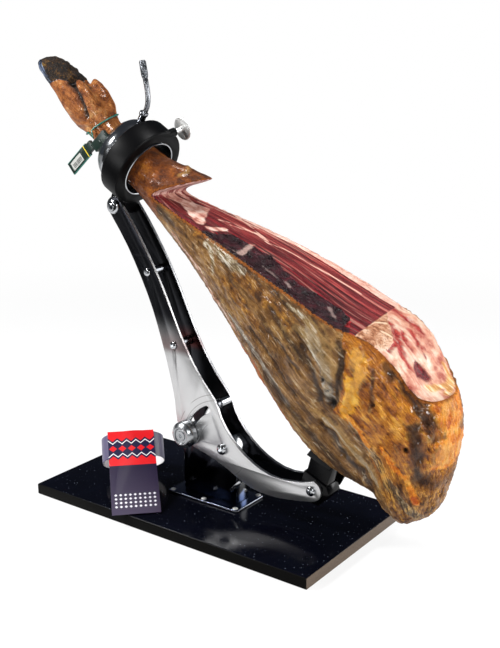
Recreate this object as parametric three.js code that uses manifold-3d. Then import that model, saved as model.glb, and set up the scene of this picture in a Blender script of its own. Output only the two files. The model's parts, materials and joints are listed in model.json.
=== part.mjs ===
// A cured ham clamped in its tilting carving stand, in millimetres, +Z up.
// The origin is the centre of the stone board's underside. +X runs along the board, from the
// hoof's side towards the butt's side, and the stand's middle plane is y = 0.
import * as THREE from 'three';
import { mergeVertices } from 'three/addons/utils/BufferGeometryUtils.js';
import Module from 'manifold-3d';

const wasm = await Module();
wasm.setup();

// Driving dimensions
const GAP = 0.3;                       // clearance between pieces that touch
const BOARD = { long: 420, wide: 220, thick: 15, edge: 1.2 };
const BASE_PLATE = { long: 110, wide: 58, thick: 3, corner: 3 };
const BASE_SCREW = { reachX: 49.5, reachY: 24.5, head: 3.4, rise: 1.4 };
const ARM = { y: 15, thick: 4 };       // middle of each side plate, and its thickness
const PIVOT = { x: 24, z: 88.5, head: 7, shank: 4 };
const SLOT = { radius: 52.3, half: 5, from: 117, to: 168.5 };
const LOCK = { angle: 167.8, stud: 4, knob: 17, length: 18.5 };
const HEAD_BOLT = { x: -144, z: 374.6, head: 9.5, shank: 5 };
const FOOT_BOLT = { x: 154.5, z: 67.6, head: 6, shank: 3.5 };
const SPACERS = [{ x: -91, z: 297 }, { x: -51, z: 209 }];
const SPACER = { radius: 6, head: 5, shank: 2.5 };
const BUSH = { x: 10.5, z: 142, radius: 6.3 };
const RING = { x: -99.7, z: 422.7, pitch: 31, outer: 52.4, depth: 29, sleeve: 38, bore: 36.2 };
const COLLAR = { radius: 44.5, from: -30, to: -54, mouth: 33 };
const LEVER = { s: -36, y: -4, rod: 3.2, grip: 4.3 };
const CLAMP = { s: -5, turn: 65, aim: [0.2, 0.949, 0.251], disc: 15, neck: 3, reach: 17 };
const TAG = { long: 42, wide: 17, thick: 2.4 };
const LABEL = { wide: 60, tongue: 134, lean: 62.3, paper: 0.9, loopWide: 82, loopDeep: 54 };
const LABEL_AT = { x: -41.9, y: -103.5, turn: 45.2, loopLean: 45, loopHigh: 34, loop: [3, 112, 22] };

const rad = THREE.MathUtils.degToRad;
const STAND_TOP = BOARD.thick + BASE_PLATE.thick;
const PLATE_FACE = ARM.y + ARM.thick / 2;
const PLATE_INNER = ARM.y - ARM.thick / 2;

// Materials
function finish(color, roughness, metalness) {
  return new THREE.MeshStandardMaterial({ color, roughness, metalness });
}
const steel = () => finish(0xb9bbbd, 0.25, 1);
const darkSteel = () => finish(0x55585c, 0.3, 1);
const blackPaint = () => finish(0x0d0d10, 0.45, 0);

// Boolean work: a closed geometry becomes a solid and comes back as a geometry.
function toSolid(geometry) {
  const bare = (geometry.index ? geometry.toNonIndexed() : geometry.clone());
  bare.deleteAttribute('normal');
  bare.deleteAttribute('uv');
  const merged = mergeVertices(bare, 1e-4);
  return new wasm.Manifold(new wasm.Mesh({
    numProp: 3,
    vertProperties: Float32Array.from(merged.attributes.position.array),
    triVerts: Uint32Array.from(merged.index.array),
  }));
}

function toGeometry(solid) {
  const { vertProperties, triVerts } = solid.getMesh();
  const geometry = new THREE.BufferGeometry();
  geometry.setAttribute('position', new THREE.BufferAttribute(vertProperties, 3));
  geometry.setIndex(new THREE.BufferAttribute(triVerts, 1));
  geometry.computeVertexNormals();
  return geometry;
}

function join(...geometries) {
  return toGeometry(geometries.map(toSolid).reduce((whole, piece) => whole.add(piece)));
}

function cut(body, ...tools) {
  return toGeometry(tools.map(toSolid).reduce((whole, tool) => whole.subtract(tool), toSolid(body)));
}

// Shapes drawn in the stand's middle plane (x across, z up) and given a thickness along Y
function slab(shape, thick, y = 0, segments = 12) {
  const geometry = new THREE.ExtrudeGeometry(shape, {
    depth: thick, bevelEnabled: false, curveSegments: segments,
  });
  return geometry.rotateX(Math.PI / 2).translate(0, y + thick / 2, 0);
}

function polygon(points) {
  return new THREE.Shape(points.map(([x, z]) => new THREE.Vector2(x, z)));
}

function roundHole(x, z, radius, sides = 16) {
  const hole = new THREE.Path();
  hole.absarc(x, z, radius, 0, 2 * Math.PI);
  return new THREE.Path(hole.getPoints(sides / 2).slice(0, -1));
}

// A turned piece whose axis is Y: the profile is a list of [radius, y] that starts and ends on it.
function turned(profile, sides = 24) {
  return new THREE.LatheGeometry(profile.map(([r, y]) => new THREE.Vector2(r, y)), sides);
}

// A rod of one radius along a smooth route
function rod(points, radius, steps, sides = 10) {
  const round = new THREE.Shape().absarc(0, 0, radius, 0, 2 * Math.PI);
  const route = new THREE.CatmullRomCurve3(points.map((p) => new THREE.Vector3(...p)));
  return new THREE.ExtrudeGeometry(new THREE.Shape(round.getPoints(sides / 2).slice(0, -1)), {
    steps, bevelEnabled: false, extrudePath: route,
  });
}

// A bolt along Y with a domed head at each end: the grip is what lies between the heads.
function throughBolt(head, shank, grip, rise) {
  const dome = (side) => [
    [head, side * grip], [head, side * (grip + rise * 0.35)], [head * 0.82, side * (grip + rise * 0.8)],
    [head * 0.5, side * (grip + rise)], [head * 0.42, side * (grip + rise * 0.6)],
    [0, side * (grip + rise * 0.6)],
  ];
  return turned([...dome(-1).reverse(), [shank, -grip], [shank, grip], ...dome(1)], 18);
}

const group = new THREE.Group();

function add(name, geometry, material, parent = group) {
  const mesh = new THREE.Mesh(geometry, material);
  mesh.name = name;
  parent.add(mesh);
  return mesh;
}

// The polished stone board, with a fine chamfer round both faces
function board() {
  const { long, wide, thick, edge } = BOARD;
  const half = [long / 2 - edge, wide / 2 - edge];
  const shape = polygon([[-half[0], -half[1]], [half[0], -half[1]], half, [-half[0], half[1]]]);
  const geometry = new THREE.ExtrudeGeometry(shape, {
    depth: thick - 2 * edge, bevelThickness: edge, bevelSize: edge, bevelSegments: 1,
  });
  return geometry.translate(0, 0, edge);
}

function roundedRectangle(long, wide, corner) {
  const [x, y] = [long / 2 - corner, wide / 2 - corner];
  const shape = new THREE.Shape();
  [[x, y, 0], [-x, y, 90], [-x, -y, 180], [x, -y, 270]].forEach(([cx, cy, start]) => {
    shape.absarc(cx, cy, corner, rad(start), rad(start + 90));
  });
  return shape;
}

function basePlate() {
  const { long, wide, thick, corner } = BASE_PLATE;
  const geometry = new THREE.ExtrudeGeometry(roundedRectangle(long, wide, corner), {
    depth: thick - GAP, bevelEnabled: false, curveSegments: 4,
  });
  return geometry.translate(0, 0, BOARD.thick + GAP);
}

function baseScrews() {
  const { reachX, reachY, head, rise } = BASE_SCREW;
  let number = 1;
  for (const y of [-reachY, reachY]) {
    for (const x of [-reachX, 0, reachX]) {
      const dome = turned([[0, 0], [head, 0], [head * 0.85, rise * 0.6], [head * 0.4, rise], [0, rise]], 10);
      const mesh = add(`base_screw_${number}`, dome.rotateX(Math.PI / 2), steel());
      mesh.position.set(x, y, STAND_TOP + GAP);
      number += 1;
    }
  }
}

const lockAt = {
  x: PIVOT.x + SLOT.radius * Math.cos(rad(LOCK.angle)),
  z: PIVOT.z + SLOT.radius * Math.sin(rad(LOCK.angle)),
};

// The upright block that stands on the base plate between the two arm plates
function bracket() {
  const shape = polygon([
    [-41, STAND_TOP + GAP], [43, STAND_TOP + GAP], [43, 89], [39, 95.5], [30.5, 104],
    [-20.8, 105.2], [-32.5, 108.5], [-41, 101],
  ]);
  shape.holes.push(roundHole(PIVOT.x, PIVOT.z, PIVOT.shank + 0.5));
  shape.holes.push(roundHole(lockAt.x, lockAt.z, LOCK.stud + 0.5));
  return slab(shape, 2 * (PLATE_INNER - 0.5));
}

// A short lug on the bracket's near cheek, on which the near arm plate's lower edge comes to rest
function stopLug() {
  return slab(polygon([[34.5, 37.5], [37.5, 34], [52.6, 50.2], [49.8, 53.2]]), 3.6, -ARM.y + 0.2);
}

// One side plate of the arm: the inner edge runs from the head down to the foot, the outer edge back.
const INNER_EDGE = [
  [-131, 377], [-111, 351], [-84, 309], [-62, 268], [-37, 216], [-12, 177], [13, 148], [24, 124],
  [46, 98], [73, 80], [104, 71], [140, 74.5],
];
const OUTER_EDGE = [
  [141, 51], [104, 46], [67, 49], [28, 66], [4, 75], [-24, 83], [-46, 106], [-52, 145], [-69, 208],
  [-90, 265], [-122, 325], [-155, 371],
];

function armPlateShape() {
  const smooth = (points, steps) => new THREE.SplineCurve(points.map((p) => new THREE.Vector2(...p)))
    .getPoints(steps);
  const arc = (centre, radius, start, end) => new THREE.EllipseCurve(
    centre.x, centre.z, radius, radius, rad(start), rad(end), true,
  ).getPoints(7);
  const shape = new THREE.Shape([
    ...smooth(INNER_EDGE, 26), ...arc(FOOT_BOLT, 13.2, 75, -90),
    ...smooth(OUTER_EDGE, 34), ...arc(HEAD_BOLT, 12.2, 190, 25),
  ]);
  shape.holes.push(roundHole(PIVOT.x, PIVOT.z, PIVOT.shank + 0.5));
  shape.holes.push(roundHole(HEAD_BOLT.x, HEAD_BOLT.z, HEAD_BOLT.shank + 0.5));
  shape.holes.push(roundHole(FOOT_BOLT.x, FOOT_BOLT.z, FOOT_BOLT.shank + 0.5));
  SPACERS.forEach(({ x, z }) => shape.holes.push(roundHole(x, z, SPACER.shank + 0.5)));
  shape.holes.push(arcSlot());
  return shape;
}

// The curved slot about the pivot, with round ends
function arcSlot() {
  const { radius, half, from, to } = SLOT;
  const end = (angle) => [PIVOT.x + radius * Math.cos(rad(angle)), PIVOT.z + radius * Math.sin(rad(angle))];
  const slot = new THREE.Path();
  slot.absarc(PIVOT.x, PIVOT.z, radius + half, rad(from), rad(to));
  slot.absarc(...end(to), half, rad(to), rad(to + 180));
  slot.absarc(PIVOT.x, PIVOT.z, radius - half, rad(to), rad(from), true);
  slot.absarc(...end(from), half, rad(from + 180), rad(from));
  const points = slot.getPoints(6);
  return new THREE.Path(points.filter((p, i) => i === 0 || p.distanceTo(points[i - 1]) > 0.01).slice(0, -1));
}

function armPlates() {
  const shape = armPlateShape();
  add('arm_plate_near', slab(shape, ARM.thick, -ARM.y), steel());
  add('arm_plate_far', slab(shape, ARM.thick, ARM.y), steel());
}

// Spacer bars between the plates, and the button-head screws that hold them from both sides
function spacers() {
  SPACERS.forEach(({ x, z }, i) => {
    const half = PLATE_INNER - GAP;
    const bar = turned([[0, -half], [SPACER.radius, -half], [SPACER.radius, half], [0, half]], 16);
    add(`spacer_${i + 1}`, bar, darkSteel()).position.set(x, 0, z);
    for (const [side, label] of [[-1, 'near'], [1, 'far']]) {
      const screw = turned([
        [0, PLATE_INNER], [SPACER.shank, PLATE_INNER], [SPACER.shank, PLATE_FACE + GAP],
        [SPACER.head, PLATE_FACE + GAP], [SPACER.head, PLATE_FACE + 1.4], [SPACER.head * 0.7, PLATE_FACE + 2.6],
        [SPACER.head * 0.4, PLATE_FACE + 2.6], [SPACER.head * 0.36, PLATE_FACE + 1.6], [0, PLATE_FACE + 1.6],
      ], 12);
      if (side < 0) screw.rotateX(Math.PI);
      add(`spacer_screw_${i + 1}_${label}`, screw, steel()).position.set(x, 0, z);
    }
  });
}

// The short sleeve that ties the plates just above the slot, with its washers towards the near plate
function bush() {
  const { x, z, radius } = BUSH;
  const sleeve = turned([[0, -5], [radius, -5], [radius, PLATE_INNER - GAP], [0, PLATE_INNER - GAP]], 18);
  add('bush_sleeve', sleeve, steel()).position.set(x, 0, z);
  const core = turned([
    [0, GAP - PLATE_INNER], [radius, GAP - PLATE_INNER], [radius, -9.6], [radius - 1.6, -9.6],
    [radius - 1.6, -5 - GAP], [0, -5 - GAP],
  ], 18);
  add('bush_washers', core, darkSteel()).position.set(x, 0, z);
}

function bolts() {
  const grip = PLATE_FACE + GAP;
  add('pivot_bolt', throughBolt(PIVOT.head, PIVOT.shank, grip, 4.2), steel())
    .position.set(PIVOT.x, 0, PIVOT.z);
  add('head_bolt', throughBolt(HEAD_BOLT.head, HEAD_BOLT.shank, grip, 5.5), steel())
    .position.set(HEAD_BOLT.x, 0, HEAD_BOLT.z);
  add('foot_bolt', throughBolt(FOOT_BOLT.head, FOOT_BOLT.shank, grip, 3.6), steel())
    .position.set(FOOT_BOLT.x, 0, FOOT_BOLT.z);
}

// The locking stud stays in the bracket and reaches through both slots. The knob clamps the near plate.
function lock() {
  const near = PLATE_FACE + GAP;
  const stud = turned([
    [0, -PLATE_FACE], [LOCK.stud, -PLATE_FACE], [LOCK.stud, near], [9, near], [9, near + 5.5], [7.5, near + 7],
    [0, near + 7],
  ], 20);
  add('lock_stud', stud, darkSteel()).position.set(lockAt.x, 0, lockAt.z);
  const { knob, length } = LOCK;
  const profile = [
    [0, 0], [knob - 0.5, 0], [knob - 0.5, 2], [knob - 3, 2.6], [knob - 3, 4.4], [knob, 5.2],
    [knob, length - 5], [knob - 5.6, length], [knob - 7, length], [knob - 8, length - 1.6],
    [6.2, length - 1.6], [6.2, length - 0.4], [2.6, length - 0.4], [2.6, length - 3], [0, length - 3],
  ];
  const turnedKnob = turned(profile, 22).rotateX(Math.PI);
  add('lock_knob', turnedKnob, steel()).position.set(lockAt.x, -PLATE_FACE - GAP, lockAt.z);
}

// The ring's own frame: x runs along its axis towards the ham, z is square to it and up, y is across.
const ringFrame = new THREE.Group();
ringFrame.position.set(RING.x, 0, RING.z);
ringFrame.rotation.y = rad(RING.pitch);
group.add(ringFrame);

function ringToStand(s, n) {
  const [c, k] = [Math.cos(rad(RING.pitch)), Math.sin(rad(RING.pitch))];
  return [RING.x + s * c + n * k, RING.z - s * k + n * c];
}

function standToRing(x, z) {
  const [c, k] = [Math.cos(rad(RING.pitch)), Math.sin(rad(RING.pitch))];
  return [(x - RING.x) * c - (z - RING.z) * k, (x - RING.x) * k + (z - RING.z) * c];
}

function alongRing(profile, sides) {
  return turned(profile, sides).rotateZ(-Math.PI / 2);
}

// A direction square to the clamp screw's axis is turned on to it from Y.
const clampAim = new THREE.Vector3(...CLAMP.aim).normalize()
  .applyAxisAngle(new THREE.Vector3(0, 1, 0), -rad(RING.pitch));
const clampTurn = new THREE.Quaternion().setFromUnitVectors(new THREE.Vector3(0, 1, 0), clampAim);
const clampRoot = new THREE.Vector3(
  CLAMP.s, RING.outer * Math.cos(rad(CLAMP.turn)), RING.outer * Math.sin(rad(CLAMP.turn)),
);

// The black housing: a ring with a stem that stands between the arm plates, and a boss for the screw
function housing() {
  const { outer, depth, sleeve } = RING;
  const shell = alongRing([
    [sleeve + 0.4, 0], [sleeve + 0.4, -depth], [outer - 1.5, -depth], [outer, 1.5 - depth],
    [outer, -1.5], [outer - 1.5, 0], [sleeve + 0.4, 0],
  ], 40);
  const [bs, bn] = standToRing(HEAD_BOLT.x, HEAD_BOLT.z);
  const stemShape = new THREE.Shape();
  stemShape.moveTo(-2, -46);
  stemShape.lineTo(-27.5, -46);
  stemShape.absarc(bs, bn, 12.5, rad(175), rad(350));
  const stem = slab(stemShape, 2 * (PLATE_INNER - GAP), 0, 8);
  const boss = turned([[0, -9], [5.4, -9], [5.4, 4], [4.6, 4.8], [0, 4.8]], 16)
    .applyQuaternion(clampTurn).translate(...clampRoot);
  const hole = turned([[0, -20], [HEAD_BOLT.shank + 0.5, -20], [HEAD_BOLT.shank + 0.5, 20], [0, 20]], 16)
    .translate(bs, 0, bn);
  return cut(join(shell, stem, boss), hole);
}

// The steel sleeve that turns in the housing, with its rounded collar behind
function sleeve() {
  const { sleeve: outside, bore, depth } = RING;
  const { radius, from, to, mouth } = COLLAR;
  return alongRing([
    [bore, 1.2], [bore, -44], [mouth - 2, to], [mouth + 1, to], [mouth + 6, to + 5],
    [radius - 1.5, from - 12], [radius, from - 7], [radius, from - GAP],
    [outside, from - GAP], [outside, -depth], [outside, 0.8], [outside - 0.6, 1.4], [bore, 1.2],
  ].filter(([r, y], i, all) => i === 0 || r !== all[i - 1][0] || y !== all[i - 1][1]), 36);
}

// The brake lever: a hub on the collar, a bent rod and a knurled grip
function lever() {
  const frame = new THREE.Group();
  frame.position.set(LEVER.s, LEVER.y, COLLAR.radius + GAP);
  ringFrame.add(frame);
  const hub = turned([[0, 0], [4.6, 0], [4.6, 9], [5.6, 10], [5.6, 13], [4.4, 14], [0, 14]], 16)
    .rotateX(Math.PI / 2);
  const bend = [[0, 0, 12], [1, 0, 18], [-1.5, 0, 28], [-8, 0, 38], [-18, 0, 49]];
  add('lever_rod', join(hub, rod(bend, LEVER.rod, 10)), darkSteel(), frame);
  const grip = turned([
    [0, 0.4], [3.4, 0.4], [LEVER.grip - 0.4, 2], [LEVER.grip, 5], [LEVER.grip, 19], [LEVER.grip - 1, 21.5],
    [0, 21.5],
  ], 14);
  const aim = new THREE.Vector3(-18 + 8, 0, 49 - 38).normalize();
  grip.applyQuaternion(new THREE.Quaternion().setFromUnitVectors(new THREE.Vector3(0, 1, 0), aim));
  add('lever_grip', grip, darkSteel(), frame).position.set(-18, 0, 49);
}

// The thumb screw on the ring's far side: a neck and a thin polished disc
function clampScrew() {
  const { neck, reach, disc } = CLAMP;
  const screw = turned([
    [0, 5.1], [neck, 5.1], [neck, reach - 1.2], [disc - 0.8, reach - 1.2], [disc, reach - 0.4],
    [disc, reach + 0.4], [disc - 0.8, reach + 1.2], [0, reach + 1.2],
  ], 22).applyQuaternion(clampTurn);
  add('clamp_screw', screw, steel(), ringFrame).position.copy(clampRoot);
}

// The cradle under the ham: a block on the foot bolt, a raised seat and a wide slanted top plate
const CRADLE_TOP = [[155, 120.5], [149.5, 113], [180.5, 100.5], [185, 107.5]];

function cradle() {
  const block = new THREE.Shape([
    [142, 89], [139, 78], [141, 62], [150, 50.5], [162, 49], [173, 60], [176, 66], [172.5, 75.5],
  ].map((p) => new THREE.Vector2(...p)));
  block.holes.push(roundHole(FOOT_BOLT.x, FOOT_BOLT.z, FOOT_BOLT.shank + 0.5));
  const seat = slab(polygon([[150, 112], [143.5, 87], [171, 75], [179.5, 100.3]]), 19);
  add('cradle_block', join(slab(block, 2 * (PLATE_INNER - GAP)), seat), blackPaint());
  const ear = slab(polygon([[165, 104], [183, 102], [180, 82], [172, 67], [165, 74]]), 2.8, 18.8);
  add('cradle_plate', cut(join(slab(polygon(CRADLE_TOP), 40), ear), slab(polygon([
    [149, 111.7], [143, 86], [171, 74], [181, 101],
  ]), 19.8)), blackPaint());
}

// The ham
// Each station is a slice square to the leg: its top and bottom in the stand's middle plane, its
// half width across, and how far its middle lies from that plane.
const LEG = [
  { at: -216, top: 20, bottom: 11, half: 8 },
  { at: -205, top: 31, bottom: 8, half: 15 },
  { at: -188, top: 36, bottom: 5, half: 20 },
  { at: -165, top: 35, bottom: 0, half: 23 },
  { at: -140, top: 32, bottom: -9, half: 25 },
  { at: -115, top: 32, bottom: -16, half: 24.5 },
  { at: -94, top: 29, bottom: -14, half: 22.5 },
  { at: -75, top: 21, bottom: -18, half: 21 },
  { at: -54, top: 18, bottom: -22, half: 22 },
  { at: -25, top: 24, bottom: -28, half: 27 },
].map(({ at, top, bottom, half }) => ({
  top: ringToStand(at, top), bottom: ringToStand(at, bottom), half, y: -2,
}));
const BODY = [
  { top: [-80, 440], bottom: [-110, 396], half: 30, y: -2 },
  { top: [-38, 428], bottom: [-76, 363], half: 33, y: -1 },
  { top: [6, 414], bottom: [-40, 332], half: 40, y: 0 },
  { top: [55, 400], bottom: [-2, 296], half: 50, y: 0 },
  { top: [105, 383], bottom: [37, 254], half: 60, y: 0 },
  { top: [155, 361], bottom: [71, 213], half: 68, y: 0 },
  { top: [205, 338], bottom: [101, 177], half: 74, y: 0 },
  { top: [250, 308], bottom: [130, 145], half: 76, y: 0 },
  { top: [282, 276], bottom: [158, 120], half: 74, y: 0 },
  { top: [303, 242], bottom: [190, 105], half: 69, y: -3 },
  { top: [322, 206], bottom: [216, 101], half: 61, y: -6 },
  { top: [328, 166], bottom: [240, 99], half: 52, y: -10 },
  { top: [324, 130], bottom: [255, 82], half: 43, y: -14 },
  { top: [315, 92], bottom: [273, 66], half: 30, y: -17 },
];
// The line that the knife has left along the top, from the notch under the skin flap to the butt
const KNIFE_LINE = [
  [-71, 397], [-24, 380], [45, 357], [100, 336], [153, 314], [205, 291], [236, 280], [256, 270],
  [270, 258], [283, 244], [295, 230], [307, 220], [345, 206],
];
const FLAP_TIP = [3, 419];

// Hollows and swellings of the skin: where each one is centred, its radius and its depth (out is +)
const RELIEF = [
  { at: [215, -85, 175], radius: 34, depth: -7 },
  { at: [262, -75, 150], radius: 24, depth: -8 },
  { at: [190, -85, 240], radius: 30, depth: 4 },
  { at: [300, -45, 190], radius: 26, depth: 5 },
  { at: [95, -60, 240], radius: 30, depth: -3 },
  { at: [238, -60, 110], radius: 24, depth: 5 },
];
const EGG = 0.1;                       // how much wider a slice is above its middle than below
const AROUND = 30;
const ALONG = 3;

function sliceSpline() {
  const stations = [...LEG, ...BODY];
  const curve = (pick) => new THREE.CatmullRomCurve3(
    stations.map((st) => new THREE.Vector3(...pick(st))), false, 'centripetal',
  );
  return {
    count: stations.length,
    top: curve((st) => [st.top[0], 0, st.top[1]]),
    bottom: curve((st) => [st.bottom[0], 0, st.bottom[1]]),
    size: curve((st) => [st.half, st.y, 0]),
  };
}

function relief(point) {
  return RELIEF.reduce((sum, { at, radius, depth }) => {
    const away = point.distanceTo(new THREE.Vector3(...at)) / radius;
    return sum + depth * Math.exp(-away * away);
  }, 0);
}

// One point of a slice: a rounded, slightly boxy oval between its top and its bottom
function slicePoint(spline, t, angle) {
  const [top, bottom, size] = [spline.top, spline.bottom, spline.size].map((c) => c.getPoint(t));
  const middle = top.clone().add(bottom).multiplyScalar(0.5);
  const up = top.clone().sub(bottom).multiplyScalar(0.5);
  const boxy = (value) => Math.sign(value) * Math.abs(value) ** 0.88;
  const point = middle.clone().addScaledVector(up, boxy(Math.sin(angle)));
  point.y = size.y + size.x * (1 + EGG * Math.sin(angle)) * boxy(Math.cos(angle));
  const out = point.clone().sub(middle).normalize();
  return point.addScaledVector(out, relief(point));
}

function loft() {
  const spline = sliceSpline();
  const rows = ALONG * (spline.count - 1);
  const positions = [];
  for (let row = 0; row <= rows; row += 1) {
    for (let i = 0; i < AROUND; i += 1) {
      positions.push(...slicePoint(spline, row / rows, (2 * Math.PI * i) / AROUND).toArray());
    }
  }
  const ends = [0, 1].map((t) => {
    const middle = spline.top.getPoint(t).add(spline.bottom.getPoint(t)).multiplyScalar(0.5);
    return middle.add(t === 0 ? new THREE.Vector3(-7, 0, 6) : new THREE.Vector3(2, 0, -12));
  });
  positions.push(...ends[0].toArray(), ...ends[1].toArray());
  const index = [];
  const first = (rows + 1) * AROUND;
  for (let i = 0; i < AROUND; i += 1) {
    const j = (i + 1) % AROUND;
    for (let row = 0; row < rows; row += 1) {
      const [a, b] = [row * AROUND, (row + 1) * AROUND];
      index.push(a + i, a + j, b + j, a + i, b + j, b + i);
    }
    index.push(first, j, i, first + 1, rows * AROUND + i, rows * AROUND + j);
  }
  const geometry = new THREE.BufferGeometry();
  geometry.setAttribute('position', new THREE.Float32BufferAttribute(positions, 3));
  geometry.setIndex(index);
  return geometry;
}

// A dewclaw: a blunt cone that lies back along the foot
function dewclaw(y) {
  const [rootX, rootZ] = ringToStand(-100, 18);
  const [tipX, tipZ] = ringToStand(-141, 39);
  const claw = turned([[0, -10], [9, -8], [12, 4], [11, 20], [8, 34], [3.5, 44], [0, 46]], 14);
  const aim = new THREE.Vector3(tipX - rootX, 0, tipZ - rootZ).normalize();
  claw.applyQuaternion(new THREE.Quaternion().setFromUnitVectors(new THREE.Vector3(0, 1, 0), aim));
  return claw.translate(rootX, y, rootZ);
}

function ham() {
  const whole = join(loft(), dewclaw(-15), dewclaw(13));
  const knife = new THREE.SplineCurve(KNIFE_LINE.map((p) => new THREE.Vector2(...p))).getPoints(30);
  const removed = new THREE.Shape([
    ...knife, new THREE.Vector2(420, 206), new THREE.Vector2(420, 520), new THREE.Vector2(30, 520),
    new THREE.Vector2(...FLAP_TIP),
  ]);
  const seat = CRADLE_TOP.map(([x, z]) => [x, z]);
  const middle = [167.5, 110];
  const grown = seat.map(([x, z]) => [middle[0] + (x - middle[0]) * 1.04, middle[1] + (z - middle[1]) * 1.08]);
  return cut(whole, slab(removed, 300), slab(polygon(grown), 41.6));
}

// The green tie round the shank and the flat tag that hangs from it
function tieAndTag() {
  const tie = new THREE.TorusGeometry(27.6, 1.1, 6, 28).rotateY(Math.PI / 2).scale(1, 1, 1.02);
  const tieMesh = add('tie', tie, finish(0x0d5a50, 0.35, 0), ringFrame);
  tieMesh.position.set(-83, -2, 3);
  const plate = new THREE.BoxGeometry(TAG.long, TAG.thick, TAG.wide);
  const lockBlock = new THREE.BoxGeometry(11, 5, 12).translate(TAG.long / 2 + 4, 0, 0);
  const tag = add('tag', join(plate, lockBlock), finish(0x0b3a2c, 0.4, 0));
  tag.position.set(-184, -33, 432);
  tag.rotation.y = rad(-41);
}

// The paper collar that stands on the board: a tilted loop and a tongue that slopes to the front
function label() {
  const frame = new THREE.Group();
  frame.position.set(LABEL_AT.x, LABEL_AT.y, BOARD.thick + GAP);
  frame.rotation.z = rad(LABEL_AT.turn);
  group.add(frame);
  const { wide, tongue, lean, paper, loopWide, loopDeep } = LABEL;
  const sheet = new THREE.BoxGeometry(wide, paper, tongue).translate(0, -paper / 2, tongue / 2);
  sheet.rotateX(-rad(lean)).translate(0, 0, 1);
  const outline = new THREE.Shape().absellipse(0, 0, loopWide / 2, loopDeep / 2, 0, 2 * Math.PI);
  const band = new THREE.Shape(outline.getPoints(20).slice(0, -1));
  const inside = new THREE.Path().absellipse(0, 0, loopWide / 2 - paper, loopDeep / 2 - paper, 0, 2 * Math.PI);
  band.holes.push(new THREE.Path(inside.getPoints(20).slice(0, -1)));
  const loop = new THREE.ExtrudeGeometry(band, { depth: LABEL_AT.loopHigh, bevelEnabled: false });
  loop.rotateX(-rad(LABEL_AT.loopLean)).translate(...LABEL_AT.loop);
  add('collar_label', join(sheet, loop), finish(0x24163a, 0.4, 0), frame);
}

add('board', board(), finish(0x0b0b0e, 0.12, 0));
add('base_plate', basePlate(), steel());
baseScrews();
add('bracket', bracket(), steel());
add('stop_lug', stopLug(), steel());
armPlates();
spacers();
bush();
bolts();
lock();
add('ring_housing', housing(), blackPaint(), ringFrame);
add('ring_sleeve', sleeve(), steel(), ringFrame);
lever();
clampScrew();
cradle();
add('ham', ham(), finish(0x9a5a22, 0.45, 0));
tieAndTag();
label();

export default group;
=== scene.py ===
# %% [markdown]
# A whole cured ham, already carved open along its top, hangs in a tilting stand: a ring grips the
# shank, a cradle carries the butt, and a curved arm joins both to a bracket on a black stone board.
# The measured frame is loaded first. It says where every part is, in metres, so nothing here is fitted
# by eye: each piece below is dressed, rounded or rebuilt in the place that the frame gives it.

# %% Load the frame
import json
import math
import bmesh
import bpy
import numpy as np
from mathutils import Matrix, Vector, noise
from mathutils.bvhtree import BVHTree
from mathutils.geometry import convex_hull_2d


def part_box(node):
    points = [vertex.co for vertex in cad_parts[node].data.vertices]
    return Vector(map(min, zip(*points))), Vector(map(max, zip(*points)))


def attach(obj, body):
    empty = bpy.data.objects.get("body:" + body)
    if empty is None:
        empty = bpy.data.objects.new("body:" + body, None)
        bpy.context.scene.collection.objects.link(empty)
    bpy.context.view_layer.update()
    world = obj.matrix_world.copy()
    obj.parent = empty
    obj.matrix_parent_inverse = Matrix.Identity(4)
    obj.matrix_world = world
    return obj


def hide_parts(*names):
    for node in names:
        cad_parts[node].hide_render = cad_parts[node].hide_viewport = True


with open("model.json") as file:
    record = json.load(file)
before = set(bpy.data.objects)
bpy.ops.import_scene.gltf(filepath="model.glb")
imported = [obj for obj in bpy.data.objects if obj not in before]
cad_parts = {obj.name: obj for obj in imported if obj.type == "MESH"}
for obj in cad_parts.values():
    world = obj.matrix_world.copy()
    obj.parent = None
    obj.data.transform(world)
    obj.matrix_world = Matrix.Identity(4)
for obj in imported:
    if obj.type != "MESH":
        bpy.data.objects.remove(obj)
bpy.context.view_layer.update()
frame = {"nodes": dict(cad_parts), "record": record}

MM = 0.001
BODY_OF = {node: body for body, nodes in frame["record"]["behaviour"]["bodies"].items() for node in nodes}
frame_materials = set(bpy.data.materials)

# %% [markdown]
# The photograph was taken from a little above, 36 degrees round to the right. The camera's place was
# worked out from the board's edges, and the lens from how fast they run together.

# %% Camera
PHOTO_HIGH = 648
FOCAL_PIXELS = 1024.9
CAMERA_AT = (0.744, -0.9501, 0.5745)
CAMERA_TURN = math.radians(35.98)
CAMERA_DOWN = math.radians(15.45)
scene = bpy.context.scene
lens = bpy.data.cameras.new("photo_view")
lens.sensor_fit = "VERTICAL"
lens.sensor_height = 36
lens.lens = FOCAL_PIXELS / PHOTO_HIGH * lens.sensor_height
camera = bpy.data.objects.new("photo_view", lens)
camera.location = CAMERA_AT
camera.rotation_euler = (math.pi / 2 - CAMERA_DOWN, 0, CAMERA_TURN)
scene.collection.objects.link(camera)
scene.camera = camera
print("lens", round(lens.lens, 1), "mm")

# %% [markdown]
# Materials are written as arithmetic. A `Wire` is a value on its way through a material, and adding or
# multiplying wires adds the Math nodes for it. A `Finish` is one material: its `node` method takes a
# node's type, its settings and what its sockets get, and everything else is built from that.

# %% Shader kit
def paint(code):
    """The linear colour of a hex code."""
    parts = [int(code[i:i + 2], 16) / 255 for i in (1, 3, 5)]
    return tuple(p / 12.92 if p < 0.04045 else ((p + 0.055) / 1.055) ** 2.4 for p in parts) + (1.0,)


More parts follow.
